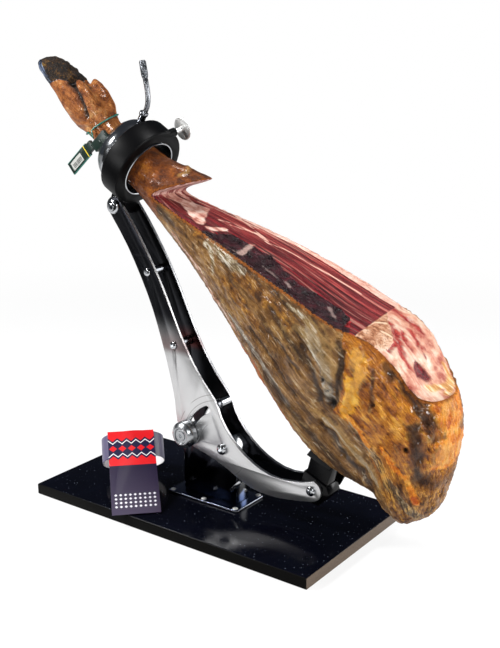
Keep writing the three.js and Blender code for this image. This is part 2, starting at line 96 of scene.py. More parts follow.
class Wire:
    """A value in a material. Arithmetic on it adds Math nodes."""

    def __init__(self, finish, socket):
        self.finish = finish
        self.socket = socket

    def maths(self, operation, *values):
        return self.finish.node("ShaderNodeMath", {"operation": operation}, dict(enumerate(values)))

    def __add__(self, other):
        return self.maths("ADD", self, other)

    def __sub__(self, other):
        return self.maths("SUBTRACT", self, other)

    def __rsub__(self, other):
        return self.maths("SUBTRACT", other, self)

    def __mul__(self, other):
        return self.maths("MULTIPLY", self, other)

    def __truediv__(self, other):
        return self.maths("DIVIDE", self, other)

    def __abs__(self):
        return self.maths("ABSOLUTE", self)

    def root(self):
        return self.maths("SQRT", self)

    def swing(self, reach):
        """Climbs from 0 to the reach and falls back to 0, again and again."""
        return self.maths("PINGPONG", self, reach)

    __radd__ = __add__
    __rmul__ = __mul__


class Finish:
    """One material, built node by node."""

    def __init__(self, name):
        self.material = bpy.data.materials.new(name)
        self.material.use_nodes = True
        self.tree = self.material.node_tree
        self.tree.nodes.clear()
        self.place = self.node("ShaderNodeTexCoord", out="Object")

    def node(self, kind, settings=None, sockets=None, out=0):
        new = self.tree.nodes.new(kind)
        for key, value in (settings or {}).items():
            if key == "stops":
                self.set_stops(new.color_ramp.elements, value)
            else:
                setattr(new, key, value)
        for key, value in (sockets or {}).items():
            if isinstance(value, Wire):
                self.tree.links.new(value.socket, new.inputs[key])
            else:
                new.inputs[key].default_value = value
        return None if out is None else Wire(self, new.outputs[out])

    @staticmethod
    def set_stops(elements, stops):
        while len(elements) < len(stops):
            elements.new(0.5)
        for element, (position, colour) in zip(elements, stops):
            element.position = position
            element.color = colour

    def noise(self, scale, detail=3.0, rough=0.55, at=None, distort=0.0):
        return self.node("ShaderNodeTexNoise", {}, {
            "Vector": at or self.place, "Scale": scale, "Detail": detail, "Roughness": rough,
            "Distortion": distort}, out="Fac")

    def cells(self, scale):
        """How far each point is from the middle of its cell, for crystals, pores and knurls."""
        return self.node("ShaderNodeTexVoronoi", {"feature": "F1"},
                         {"Vector": self.place, "Scale": scale}, out="Distance")

    def mapped(self, at=None, turn=(0, 0, 0), scale=(1, 1, 1), move=(0, 0, 0)):
        """A place moved, turned and stretched, for a pattern that runs in one direction."""
        return self.node("ShaderNodeMapping", {"vector_type": "POINT"}, {
            "Vector": at or self.place, "Location": move, "Rotation": turn, "Scale": scale})

    def parts(self, vector=None):
        split = self.node("ShaderNodeSeparateXYZ", {}, {"Vector": vector or self.place})
        return [Wire(self, output) for output in split.socket.node.outputs]

    def ease(self, value, low, high):
        """0 below low, 1 above high, and smooth between them."""
        return self.node("ShaderNodeMapRange", {"interpolation_type": "SMOOTHSTEP"},
                         {"Value": value, "From Min": low, "From Max": high})

    def mix(self, share, first, second):
        """The first colour where the share is 0, and the second where it is 1."""
        return self.node("ShaderNodeMix", {"data_type": "RGBA"}, {0: share, 6: first, 7: second}, out=2)

    def ramp(self, value, *stops):
        return self.node("ShaderNodeValToRGB", {"stops": [(at, paint(code)) for at, code in stops]},
                         {"Fac": value}, out="Color")

    def attribute(self, name, out="Fac"):
        return self.node("ShaderNodeAttribute", {"attribute_name": name}, out=out)

    def bump(self, height, depth, under=None):
        sockets = {"Height": height, "Distance": depth, "Strength": 1.0}
        if under:
            sockets["Normal"] = under
        return self.node("ShaderNodeBump", {}, sockets, out="Normal")

    def surface(self, **sockets):
        """Ends the material in a Principled shader. The names are its sockets, with _ for a space."""
        shader = self.node("ShaderNodeBsdfPrincipled", {},
                           {key.replace("_", " "): value for key, value in sockets.items()})
        self.node("ShaderNodeOutputMaterial", {}, {"Surface": shader}, out=None)
        return self.material

# %% [markdown]
# The stand's pieces are turned on a lathe, cut from plate, or cast. A turned piece is half a section
# spun round its axis. A cut or cast piece already has its right shape in the frame, so a copy of that
# mesh is welded, its flat faces are made whole again, and a bevel breaks each sharp edge, because no
# real edge is perfectly sharp and the thin highlight along it is what makes metal look real.

# %% Shape kit
def along_y(x, y, z):
    """Puts a turned piece's axis along Y, with its foot at (x, y, z) in millimetres."""
    return Matrix.Translation(Vector((x, y, z)) * MM) @ Matrix.Rotation(-math.pi / 2, 4, "X")


def lathe(profile, place, steps=48, closed=False, hexagon=0.0):
    """A turned solid from (radius, height) pairs. Inside the radius `hexagon` it gets six flat sides."""
    bm = bmesh.new()
    verts = [bm.verts.new((radius * MM, 0, height * MM)) for radius, height in profile]
    pairs = list(zip(verts, verts[1:])) + ([(verts[-1], verts[0])] if closed else [])
    edges = [bm.edges.new(pair) for pair in pairs]
    bmesh.ops.spin(bm, geom=verts + edges, cent=(0, 0, 0), axis=(0, 0, 1), angle=2 * math.pi,
                   steps=steps, use_merge=True)
    bmesh.ops.remove_doubles(bm, verts=bm.verts, dist=1e-6)
    bmesh.ops.recalc_face_normals(bm, faces=bm.faces)
    for vert in bm.verts:
        if 1e-6 < vert.co.xy.length <= hexagon * MM * 1.001:
            corner = math.atan2(vert.co.y, vert.co.x) % math.radians(60) - math.radians(30)
            vert.co.xy *= math.cos(math.radians(30)) / math.cos(corner)
    bm.transform(place)
    return bm


def break_edges(bm, edge, segments=2, sharp=32):
    """Bevels every edge where the surface turns by more than the sharp angle."""
    corners = [e for e in bm.edges if e.calc_face_angle(0) > math.radians(sharp)]
    bmesh.ops.bevel(bm, geom=corners, offset=edge * MM, offset_type="OFFSET", affect="EDGES",
                    segments=segments, profile=0.5, material=-1, clamp_overlap=True)


def welded(node):
    """A copy of a frame mesh whose triangles share their corners."""
    bm = bmesh.new()
    bm.from_mesh(frame["nodes"][node].data)
    bmesh.ops.remove_doubles(bm, verts=bm.verts, dist=2e-6)
    return bm


def cast(node, edge=0.4, segments=2, sharp=32):
    """A frame piece with its flat faces made whole and its sharp edges broken."""
    bm = welded(node)
    bmesh.ops.dissolve_limit(bm, angle_limit=math.radians(0.3), verts=bm.verts, edges=bm.edges)
    break_edges(bm, edge, segments, sharp)
    return bm


def piece(name, shapes, material, smooth=34):
    """Joins shapes into one object, and dresses it as the frame's piece of that name."""
    whole = bmesh.new()
    for shape in shapes:
        part = bpy.data.meshes.new("part")
        shape.to_mesh(part)
        whole.from_mesh(part)
        bpy.data.meshes.remove(part)
    mesh = bpy.data.meshes.new(name)
    whole.to_mesh(mesh)
    mesh.shade_smooth()
    mesh.set_sharp_from_angle(angle=math.radians(smooth))
    dress(bpy.data.objects.new(f"fine_{name}", mesh), material, name)


def dress(made, material, node):
    """Gives an object its finish and its body, and lets it stand for its frame node."""
    scene.collection.objects.link(made)
    made.data.materials.clear()
    made.data.materials.append(material)
    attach(made, BODY_OF[node])
    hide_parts(node)
    print(node, "has", len(made.data.polygons), "faces")

# %% [markdown]
# Polished steel is almost all reflection, so its look comes from what it mirrors. What keeps it from
# looking like a computer's mirror is faint: grinding lines in one direction, a few long scratches, and
# greasy patches where the shine is duller.

# %% Steel and enamel
SCRATCH_DEEP = 0.000004


def steel(name, tone="#b8babd", rough=0.13, lines=(1, 1, 1)):
    f = Finish(name)
    smear = f.noise(24, 4, 0.6)
    ground = f.noise(700, 2, 0.5, f.mapped(scale=lines))
    scratches = f.ease(f.noise(160, 2, 0.5, f.mapped(turn=(0.3, 0.9, 0.5), scale=(0.08, 1, 1))), 0.66, 0.72)
    colour = f.mix(smear * 0.3, paint(tone), paint("#8d8f94"))
    return f.surface(
        Base_Color=colour, Metallic=1.0,
        Roughness=rough + 0.08 * f.ease(smear, 0.45, 0.75) + 0.05 * scratches,
        Normal=f.bump(ground * 0.5 + scratches * 0.5, SCRATCH_DEEP))


def enamel(name, rough, grain, gloss):
    """Black paint on cast metal, with the fine orange-peel skin that sprayed paint dries to."""
    f = Finish(name)
    wear = f.ease(f.noise(60, 5, 0.65), 0.62, 0.75)
    colour = f.mix(wear, paint("#040405"), paint("#121114"))
    return f.surface(Base_Color=colour, Roughness=rough + 0.15 * wear, Specular_IOR_Level=gloss,
                     Normal=f.bump(f.noise(700, 3), grain))


MIRROR_STEEL = steel("mirror_steel")
TURNED_STEEL = steel("turned_steel", "#a4a6a8", 0.26)
DARK_STEEL = steel("dark_steel", "#6e7074", 0.24, (1, 0.1, 1))
BRIGHT_STEEL = steel("bright_steel", "#f4f4f2", 0.5)
RING_ENAMEL = enamel("ring_enamel", 0.4, 0.00002, 0.07)
CRADLE_ENAMEL = enamel("cradle_enamel", 0.16, 0.00001, 0.14)
print("finishes for", len(bpy.data.materials) - len(frame_materials), "kinds of metal and paint")

# %% [markdown]
# The board is a slab of black granite with a mirror polish. Granite is a mass of crystals: most are
# black here, and the few pale ones show as fine dust-like specks. The long sides are honed, nearly black.
# The short end at +X is painted grey, a painted highlight for the light that falls on it from the right.

# %% Board
BOARD_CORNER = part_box("board")[1]


def granite():
    f = Finish("black_granite")
    speck = (1 - f.ease(f.cells(420), 0.1, 0.26)) * f.ease(f.noise(260, 2, 0.6), 0.6, 0.66)
    cloud = f.noise(30, 4, 0.6)
    base = f.mix(cloud, paint("#030306"), paint("#080a14"))
    x, _, z = f.parts()
    top = f.ease(z, BOARD_CORNER.z - 1.0 * MM, BOARD_CORNER.z - 0.2 * MM)
    # Painted highlight: the short end at +X is painted grey where light from the right falls on it.
    lit_end_and_sawn_bone = f.ease(x, BOARD_CORNER.x - 0.8 * MM, BOARD_CORNER.x - 0.2 * MM)
    sides = f.mix(f.noise(500, 3, 0.7), f.mix(lit_end_and_sawn_bone, paint("#030303"), paint("#40372f")),
                  f.mix(lit_end_and_sawn_bone, paint("#080706"), paint("#74675c")))
    colour = f.mix(top, sides, f.mix(speck * 0.8, base, paint("#8a93a5")))
    return f.surface(Base_Color=colour, Roughness=0.1 + 0.4 * (1 - top) + 0.06 * cloud,
                     Specular_IOR_Level=0.045, Normal=f.bump(cloud, 0.00001))


piece("board", [cast("board", 0.25)], granite())

# %% [markdown]
# The base plate, the bracket and the two side plates of the arm are cut from steel plate and polished.
# Their faces are painted dark, a painted reflection of a dark room, and the cut edges are painted bright,
# a painted highlight where they catch the light. So each point of a plate keeps a `rim` value, which says
# how far it looks away from the plate's face, and the colour is painted brighter there. The near side
# plate also carries arcs that the lock knob has rubbed into it round the pivot.

# %% Base plate, bracket and arm
PIVOT = (24.0, 88.5)
WEAR_RADII = (35.0, 62.0, 69.5)
WEAR_END = 0.072
DARK_REFLECTION_BAND = (0.185, 0.25)
WARM_REFLECTION_BAND = (0.196, 0.206, 0.232)
BASE_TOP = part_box("base_plate")[1].z


def rubbed_plate(side, rubbed):
    """Bright low down, and painted dark from the arm's middle up as a painted reflection of a dark room, with
    a thin warm band of painted reflection where the two meet.
    """
    f = Finish(f"{side}_plate_steel")
    x, _, z = f.parts()
    along, up = x - PIVOT[0] * MM, z - PIVOT[1] * MM
    reach = (along * along + up * up).root()
    smear = f.noise(20, 4, 0.6)
    arcs = sum(1 - f.ease(abs(reach - radius * MM), 0.0002, 0.0007) for radius in WEAR_RADII)
    arcs = arcs * f.ease(f.noise(35, 2), 0.42, 0.58) * float(rubbed)
    arcs = arcs * (1 - f.ease(reach, WEAR_END - 1 * MM, WEAR_END + 1 * MM))
    scratches = f.ease(f.noise(150, 2, 0.5, f.mapped(turn=(0, 0.9, 0), scale=(0.06, 1, 1))), 0.66, 0.72)
    colour = f.mix(smear * 0.4, paint("#cfcfd0"), paint("#a6a5a3"))
    # Painted reflection: from the arm's middle up the colour is painted near black, except on the edges,
    # which stay bright as a painted highlight.
    colour = f.mix(f.ease(z, *DARK_REFLECTION_BAND) * (1 - f.attribute("rim")), colour, paint("#1b1c22"))
    # Painted shade and reflection: the far plate is painted dark all over, with its edges painted bright as a
    # painted highlight.
    if not rubbed:
        colour = f.mix(f.attribute("rim"), paint("#1a1b20"), paint("#c8c9cc"))
    # Painted reflection: a thin warm band where the dark and bright halves meet.
    warm_reflection = f.ease(z, WARM_REFLECTION_BAND[0], WARM_REFLECTION_BAND[1]) * (1 - f.ease(z, WARM_REFLECTION_BAND[1], WARM_REFLECTION_BAND[2]))
    colour = f.mix(warm_reflection * 0.6, colour, paint("#5a2420"))
    return f.surface(
        Base_Color=f.mix(arcs * 0.5, colour, paint("#5b5856")), Metallic=1.0,
        Roughness=0.3 + 0.08 * f.ease(smear, 0.4, 0.75) + 0.2 * arcs + 0.1 * scratches,
        Normal=f.bump(f.noise(700, 2, 0.5, f.mapped(scale=(1, 1, 0.06))) * 0.5 + scratches, SCRATCH_DEEP))


def edged(node, edge, face=Vector((0, 1, 0))):
    """A plate from the frame, with what doesn't look along its face direction marked as its rim."""
    bm = cast(node, edge)
    bm.normal_update()
    rim = bm.verts.layers.float.new("rim")
    for vert in bm.verts:
        vert[rim] = 1 - abs(vert.normal.dot(face))
    return bm


def edged_steel():
    """Faces painted dark and edges painted bright, as painted reflection and painted highlight. The base
    plate lies flat, and its top is painted the blue of the room above it, a painted reflection.
    """
    f = Finish("edged_steel")
    smear = f.noise(24, 4, 0.6)
    # Painted reflection: the faces are painted near black, as the mirror of a dark room.
    dark = f.mix(smear, paint("#14161c"), paint("#22252e"))
    # Painted reflection: the base plate's top is painted blue, the blue room mirrored in it.
    low_down = 1 - f.ease(f.parts()[2], BASE_TOP + 0.2 * MM, BASE_TOP + 0.5 * MM)
    dark = f.mix(low_down, dark, f.mix(smear, paint("#1a2a4e"), paint("#34486e")))
    # Painted highlight: where the rim value is high the colour is steel-bright.
    return f.surface(Base_Color=f.mix(f.attribute("rim"), dark, paint("#b8babd")), Metallic=1.0,
                     Roughness=0.1 + 0.1 * smear)


piece("stop_lug", [cast("stop_lug", 0.4)], MIRROR_STEEL)
EDGED_STEEL = edged_steel()
piece("base_plate", [edged("base_plate", 0.5, Vector((0, 0, 1)))], EDGED_STEEL)
piece("bracket", [edged("bracket", 0.6)], EDGED_STEEL)
for side in ("near", "far"):
    finish = rubbed_plate(side, side == "near")
    piece(f"arm_plate_{side}", [edged(f"arm_plate_{side}", 0.45)], finish)

# %% [markdown]
# Bolts, screws, spacers and the lock knob are turned parts, so each is a section spun round its axis.
# The domed heads have a hexagonal socket for the key: the section dips at the middle, and the ring of
# points inside the socket's radius is pulled into six flats.

# %% Turned parts
GRIP = 17.3


def button_head(radius, rise, key):
    """The section of a domed head that sits on height 0, with a socket for a hexagon key."""
    dome = [(radius * math.cos(a), rise * (0.3 + 0.7 * math.sin(a)))
            for a in (math.radians(5 + 12 * i) for i in range(6))]
    return [(0, rise * 0.35), (key, rise * 0.35), (key, rise), *reversed(dome), (radius, 0), (0, 0)]


def screw(x, y, z, radius, rise, key, towards):
    """A screw head that looks to -Y or +Y, as `towards` is -1 or 1."""
    place = along_y(x, y, z) if towards > 0 else along_y(x, y, z) @ Matrix.Rotation(math.pi, 4, "X")
    return lathe(button_head(radius, rise, key), place, hexagon=key)


def through_bolt(node, x, z, radius, rise, key, shank):
    """A rod through both side plates, with a head on each side."""
    rod = lathe([(0, -GRIP), (shank, -GRIP), (shank, GRIP), (0, GRIP)], along_y(x, 0, z), 32)
    heads = [screw(x, side * GRIP, z, radius, rise, key, side) for side in (-1, 1)]
    piece(node, [rod, *heads], MIRROR_STEEL)


through_bolt("pivot_bolt", *PIVOT, 7, 4.2, 2.9, 4)
through_bolt("head_bolt", -144, 374.6, 9.5, 5.5, 3.9, 5)
through_bolt("foot_bolt", 154.5, 67.6, 6, 3.6, 2.5, 3.5)
for number, (x, z) in enumerate(((-91, 297), (-51, 209)), 1):
    bar = lathe([(0, -12.7), (5.5, -12.7), (6, -12.2), (6, 12.2), (5.5, 12.7), (0, 12.7)], along_y(x, 0, z))
    piece(f"spacer_{number}", [bar], DARK_STEEL)
    for towards, side in ((-1, "near"), (1, "far")):
        head = screw(x, towards * GRIP, z, 5, 2.3, 2, towards)
        shank_y = min(towards * 13, towards * 17)
        shank = lathe([(0, 0), (2.5, 0), (2.5, 4), (0, 4)], along_y(x, shank_y, z), 24)
        piece(f"spacer_screw_{number}_{side}", [head, shank], MIRROR_STEEL)

BUSH = (10.5, 142)
sleeve_bar = [(0, 0), (5.9, 0), (6.3, 0.4), (6.3, 17.3), (5.9, 17.7), (0, 17.7)]
piece("bush_sleeve", [lathe(sleeve_bar, along_y(BUSH[0], -5, BUSH[1]))], MIRROR_STEEL)
washers = [(0, 0), (6.3, 0), (6.3, 1.5), (5.9, 1.6), (6.3, 1.7), (6.3, 3.1), (4.7, 3.1), (4.7, 7.4), (0, 7.4)]
piece("bush_washers", [lathe(washers, along_y(BUSH[0], -12.7, BUSH[1]))], DARK_STEEL)

for number in range(1, 7):
    low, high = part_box(f"base_screw_{number}")
    foot = Matrix.Translation(((low.x + high.x) / 2, (low.y + high.y) / 2, low.z))
    head = lathe(button_head(3.4, 1.4, 1.3), foot, hexagon=1.3)
    piece(f"base_screw_{number}", [head], BRIGHT_STEEL)

LOCK = (-27.12, 99.55)
stud = [(0, 0), (4, 0), (4, 34.3), (8.4, 34.3), (9, 34.9), (9, 39.4), (7.6, 41.2), (2.8, 41.2),
        (2.8, 39.4), (0, 39.4)]
piece("lock_stud", [lathe(stud, along_y(LOCK[0], -17, LOCK[1]), hexagon=2.8)], DARK_STEEL)
knob = [(0, 0), (16.2, 0), (16.6, 0.4), (16.6, 1.8), (14.2, 2.6), (14.2, 4.4), (16.4, 5.2), (17, 5.8),
        (17, 13), (16.6, 14), (12, 18.2), (11.3, 18.5), (10, 18.5), (9.4, 18.1), (9, 17), (6.4, 17),
        (6.2, 17.4), (6, 18.1), (5.4, 18.2), (2.6, 18.2), (2.6, 15.5), (0, 15.5)]
knob_place = along_y(LOCK[0], -GRIP, LOCK[1]) @ Matrix.Rotation(math.pi, 4, "X")
piece("lock_knob", [lathe(knob, knob_place, 64, hexagon=2.6)], TURNED_STEEL)

# %% [markdown]
# The ring has its own axis, which points down along the leg. Its black housing is cast in one with the
# stem that stands between the arm plates. The steel sleeve inside it is turned, with a rounded collar
# behind, so it is spun round the ring's axis from its section.

# %% Ring, lever and clamp
RING_AT = (-99.7, 0, 422.7)
RING_PITCH = math.radians(31)
RING = Matrix.Translation(Vector(RING_AT) * MM) @ Matrix.Rotation(RING_PITCH, 4, "Y")
RING_AXIS = RING @ Matrix.Rotation(math.pi / 2, 4, "Y")
piece("ring_housing", [cast("ring_housing", 0.5, sharp=40)], RING_ENAMEL, smooth=30)
sleeve = [(36.2, 1.0), (36.2, -44), (31, -54), (33, -54), (35.5, -53.2), (38.8, -50), (41.6, -45.5),
          (43.4, -41), (44.3, -38), (44.5, -36.5), (44.5, -30.8), (44, -30.3), (38, -30.3), (38, -29),
          (38, 0.6), (37.4, 1.4), (36.8, 1.4)]
piece("ring_sleeve", [lathe(sleeve, RING_AXIS, 96, closed=True)], MIRROR_STEEL)
piece("lever_rod", [cast("lever_rod", 0.3, sharp=50)], DARK_STEEL, smooth=60)
piece("clamp_screw", [cast("clamp_screw", 0.2, sharp=40)], BRIGHT_STEEL, smooth=45)


def knurled():
    """Steel with a knurled grip: small raised cells with dark grooves between them."""
    f = Finish("knurled_steel")
    grip = f.cells(520)
    colour = f.mix(f.ease(grip, 0.2, 0.6), paint("#8d9095"), paint("#3c3e42"))
    return f.surface(Base_Color=colour, Metallic=1.0, Roughness=0.28, Normal=f.bump(grip, -0.0005))


piece("lever_grip", [cast("lever_grip", 0.3, sharp=40)], knurled(), smooth=45)
piece("cradle_block", [cast("cradle_block", 0.6)], CRADLE_ENAMEL)
piece("cradle_plate", [cast("cradle_plate", 0.8, 3)], CRADLE_ENAMEL)

# %% [markdown]
# A ham's surface is many things at once: polished horn, oiled skin, yellow rind, dried meat, fresh-cut
# meat, white fat and sawn bone. Painting them with one texture would smear their borders. Here the whole
# ham is one mesh, and every point of it knows how deep it lies in each region, in millimetres. A region's
# border is a short line of points in the stand's own coordinates, drawn where the real one runs, and a
# soft tint is a stroke of a brush along such a line.

# %% Ham: measuring tools
def to_line(points, line):
    """The distance in a plane from each point to a line of points."""
    nearest = np.full(len(points), 1e9)
    for start, end in zip(np.array(line[:-1], float), np.array(line[1:], float)):
        step = end - start
        share = np.clip(((points - start) @ step) / (step @ step), 0, 1)
        nearest = np.minimum(nearest, np.linalg.norm(points - start - share[:, None] * step, axis=1))
    return nearest


def depth_in(points, corners):
    """How deep each point lies inside a closed outline, and below 0 outside it."""
    ring = np.array(corners + corners[:1], float)
    crossed = np.zeros(len(points), int)
    for (x0, y0), (x1, y1) in zip(ring[:-1], ring[1:]):
        spans = (y0 > points[:, 1]) != (y1 > points[:, 1])
        at = x0 + (points[:, 1] - y0) * (x1 - x0) / (y1 - y0 if y1 != y0 else 1e-9)
        crossed += spans & (points[:, 0] < at)
    return np.where(crossed % 2 == 1, 1, -1) * to_line(points, list(map(tuple, ring)))


def border(depth, width=8.0):
    """A ramp that is 0.5 on a border and reaches 0 and 1 half a width to each side of it."""
    return np.clip(0.5 + depth / width, 0, 1)


def ease(value, low, high):
    share = np.clip((value - low) / (high - low), 0, 1)
    return share * share * (3 - 2 * share)


def rough(points, wave, octaves=3, stretch=(1, 1, 1), shift=0.0):
    """Smooth seeded noise between about -1 and 1 at each point, for bumps about one wave long."""
    scaled = points / (np.array(stretch) * wave) + shift
    return np.array([noise.fractal(p, 0.8, 2.0, octaves) for p in scaled])


# %% [markdown]
# The frame's ham has flat facets. A voxel remesh turns it into an even net of about two millimetres, and
# relaxing that net melts the facets. The cut face and the skin are relaxed apart, each only towards
# neighbours of its own kind, so the knife's edge between them stays crisp. The foot and the notch under
# the flap have small forms that relaxing would wear away, so they are given less freedom.

# %% Ham: an even net over the frame's solid
VOXEL = 2.0 * MM
KNIFE_LINE = [(-71, 397), (-24, 380), (45, 357), (100, 336), (153, 314), (205, 291), (236, 280), (256, 270),
              (270, 258), (283, 244), (295, 230), (307, 220), (345, 206)]
FLAP_UNDERSIDE = [(-71, 397), (3, 419)]


def even_net():
    """The frame's ham as an even net, and the solid that it was made from."""
    bm = welded("ham")
    solid = bpy.data.meshes.new("solid_ham")
    bm.to_mesh(solid)
    holder = bpy.data.objects.new("solid_ham", solid)
    scene.collection.objects.link(holder)
    net = holder.modifiers.new("net", "REMESH")
    net.mode = "VOXEL"
    net.voxel_size = VOXEL
    mesh = bpy.data.meshes.new_from_object(holder.evaluated_get(bpy.context.evaluated_depsgraph_get()))
    bpy.data.objects.remove(holder)
    return mesh, bm


def tissue_kind(mesh, bm):
    """0 on the skin, 1 on the knife's long cut and 2 under the flap, from the nearest face of the solid."""
    bm.faces.ensure_lookup_table()
    middles = np.array([face.calc_center_median() / MM for face in bm.faces])
    normals = np.array([face.normal for face in bm.faces])
    flat = abs(normals[:, 1]) < 0.01
    knife = flat & (to_line(middles[:, [0, 2]], KNIFE_LINE) < 2.5) & (normals[:, 2] > 0)
    flap = flat & (to_line(middles[:, [0, 2]], FLAP_UNDERSIDE) < 1.5) & (normals[:, 2] < 0)
    tree = BVHTree.FromBMesh(bm)
    kinds = knife * 1.0 + flap * 2.0
    return np.array([kinds[tree.find_nearest(v.co)[2]] for v in mesh.vertices])


def relaxed(values, links, steps, weights, freedom=1.0):
    """Moves each value towards the weighted mean of its neighbours, again and again."""
    a, b = links.T
    size = len(values)
    total = np.bincount(a, weights, size) + np.bincount(b, weights, size)
    total = np.maximum(total, 1e-9)
    values = values.astype(float).copy()
    columns = values.reshape(size, -1)
    for _ in range(steps):
        for column in columns.T:
            summed = np.bincount(a, weights * column[b], size) + np.bincount(b, weights * column[a], size)
            column += 0.5 * freedom * np.where(total > 1e-6, summed / total - column, 0)
    return values


ham_mesh, ham_solid = even_net()
LINKS = np.array([edge.vertices[:] for edge in ham_mesh.edges])
ALIKE = np.ones(len(LINKS))
kind = tissue_kind(ham_mesh, ham_solid)
at = np.array([v.co for v in ham_mesh.vertices]) / MM


def leg_frame(points):
    """Points measured from the ring: along the leg, across it, and up from the leg's axis."""
    c, s = math.cos(RING_PITCH), math.sin(RING_PITCH)
    x, y, z = (points - np.array(RING_AT)).T
    return np.stack([x * c - z * s, y, x * s + z * c], 1)


FOOT_FADE = [-110, -60]
same_kind = (kind[LINKS[:, 0]] == kind[LINKS[:, 1]]).astype(float)
edge_point = np.zeros(len(at))
edge_point[LINKS[same_kind == 0].ravel()] = 1
both_on_edge = edge_point[LINKS[:, 0]] * edge_point[LINKS[:, 1]]
one_on_edge = abs(edge_point[LINKS[:, 0]] - edge_point[LINKS[:, 1]])
HOLD = same_kind * np.where(one_on_edge == 1, 0.15, 1.0) + both_on_edge
freedom = np.interp(leg_frame(at)[:, 0], FOOT_FADE, [0.1, 1.0])
freedom *= np.interp(np.linalg.norm(at[:, [0, 2]] - FLAP_UNDERSIDE[0], axis=1), [5, 20], [0.08, 1.0])
at = relaxed(at, LINKS, 45, HOLD, freedom)
cut_depth = relaxed(np.minimum(kind, 1), LINKS, 6, ALIKE)
print("ham net:", len(at), "points,", int((kind > 0).sum()), "of them on the cut")

# %% [markdown]
# These lines are in millimetres. Places on the cut are given as (x, y), because the knife ran along X,
# and places on the sides as (x, z). The foot is measured in the ring's own directions, along the leg and
# square to it. The lines on the cut are its rims, the edge of the dried band, the white fat, and the
# outlines of muscle, bone and the streaks at the hip.

# %% Ham: lines on the cut
NEAR_RIM = [(-71, -21), (-33, -34), (4, -39), (43, -46), (84, -49), (122, -51), (158, -60), (189, -68),
            (214, -69)]
FAR_RIM = [(-71, 30), (5, 43), (43, 47), (100, 52), (200, 57), (251, 55), (268, 48)]
BAND_EDGE = [(-71, -60), (10, -50), (31, -31), (39, -13), (70, -13), (93, -10), (121, -24), (145, -33),
             (170, -25), (195, -27), (209, -31), (224, -55), (228, -67)]
FAT_EDGE = [(-70, 22), (-25, 33), (3, 37), (33, 39), (68, 43), (87, 48), (145, 50), (224, 50), (237, 48),
            (261, 38), (280, 28), (345, 28)]
PALE = [[(-68, -17), (-67, 20), (-37, 12), (-21, 21), (-6, -5), (9, -29), (3, -35), (-16, -24), (-43, -7)],
        [(18, -34), (26, -31), (32, -12), (26, -6), (21, -15), (12, -30)],
        [(66, -48), (76, -50), (72, -28), (67, -8), (63, -13), (65, -28)]]
MUSCLE = [[(-67, -8), (-43, -22), (-11, -27), (-22, -31), (-51, -21)],
          [(-67, 8), (-54, 10), (-37, 13), (-54, 5)]]
SEAMS = [[(21, 7), (31, 11), (48, 21), (70, 14), (87, 23), (106, 25), (119, 24), (150, 30), (185, 33)],
         [(6, 4), (19, 14), (49, 19)], [(3, 38), (25, 33), (57, 22), (68, 18)],
         [(-40, 22), (-10, 30), (40, 36)]]
BAND_FAT = [[(99, -34), (122, -41)], [(134, -40), (142, -44)], [(186, -34), (200, -44)]]
RED_STEP = [(201, -24), (215, -16), (224, -29), (227, -52), (214, -50), (211, -32)]
BONE = [(232, -65), (227, -42), (225, -16), (218, 13), (216, 36), (235, 8), (250, -10), (258, -22),
        (262, -42), (257, -52), (248, -59), (235, -65)]
BONE_RIMS = [[(233, -63), (227, -36), (228, -15), (236, -1)], [(243, -23), (254, -18)]]
HIP_STREAKS = [([(235, 8), (248, -9), (258, -21), (262, -40)], 3.5),
               ([(249, -1), (262, -18), (272, -26), (280, -27)], 4),
               ([(253, 7), (263, -2), (269, -2)], 3.5), ([(254, 22), (262, 17), (269, 12)], 2.5),
               ([(272, 16), (280, 10)], 1.6), ([(213, 43), (224, 44), (240, 41), (252, 40), (262, 39)], 4.5)]
HIP_FROM = 226
BAND_END = 232
RED_HOLLOW = [(277, -8), (285, -4), (296, -1), (295, -17), (289, -26), (282, -20)]
GOLD_FAT = [([(292, 34), (302, 29), (314, -4)], 6), ([(306, 10), (300, -22)], 5)]
print("lines on the cut, from x =", NEAR_RIM[0][0], "to", RED_HOLLOW[2][0], "mm")
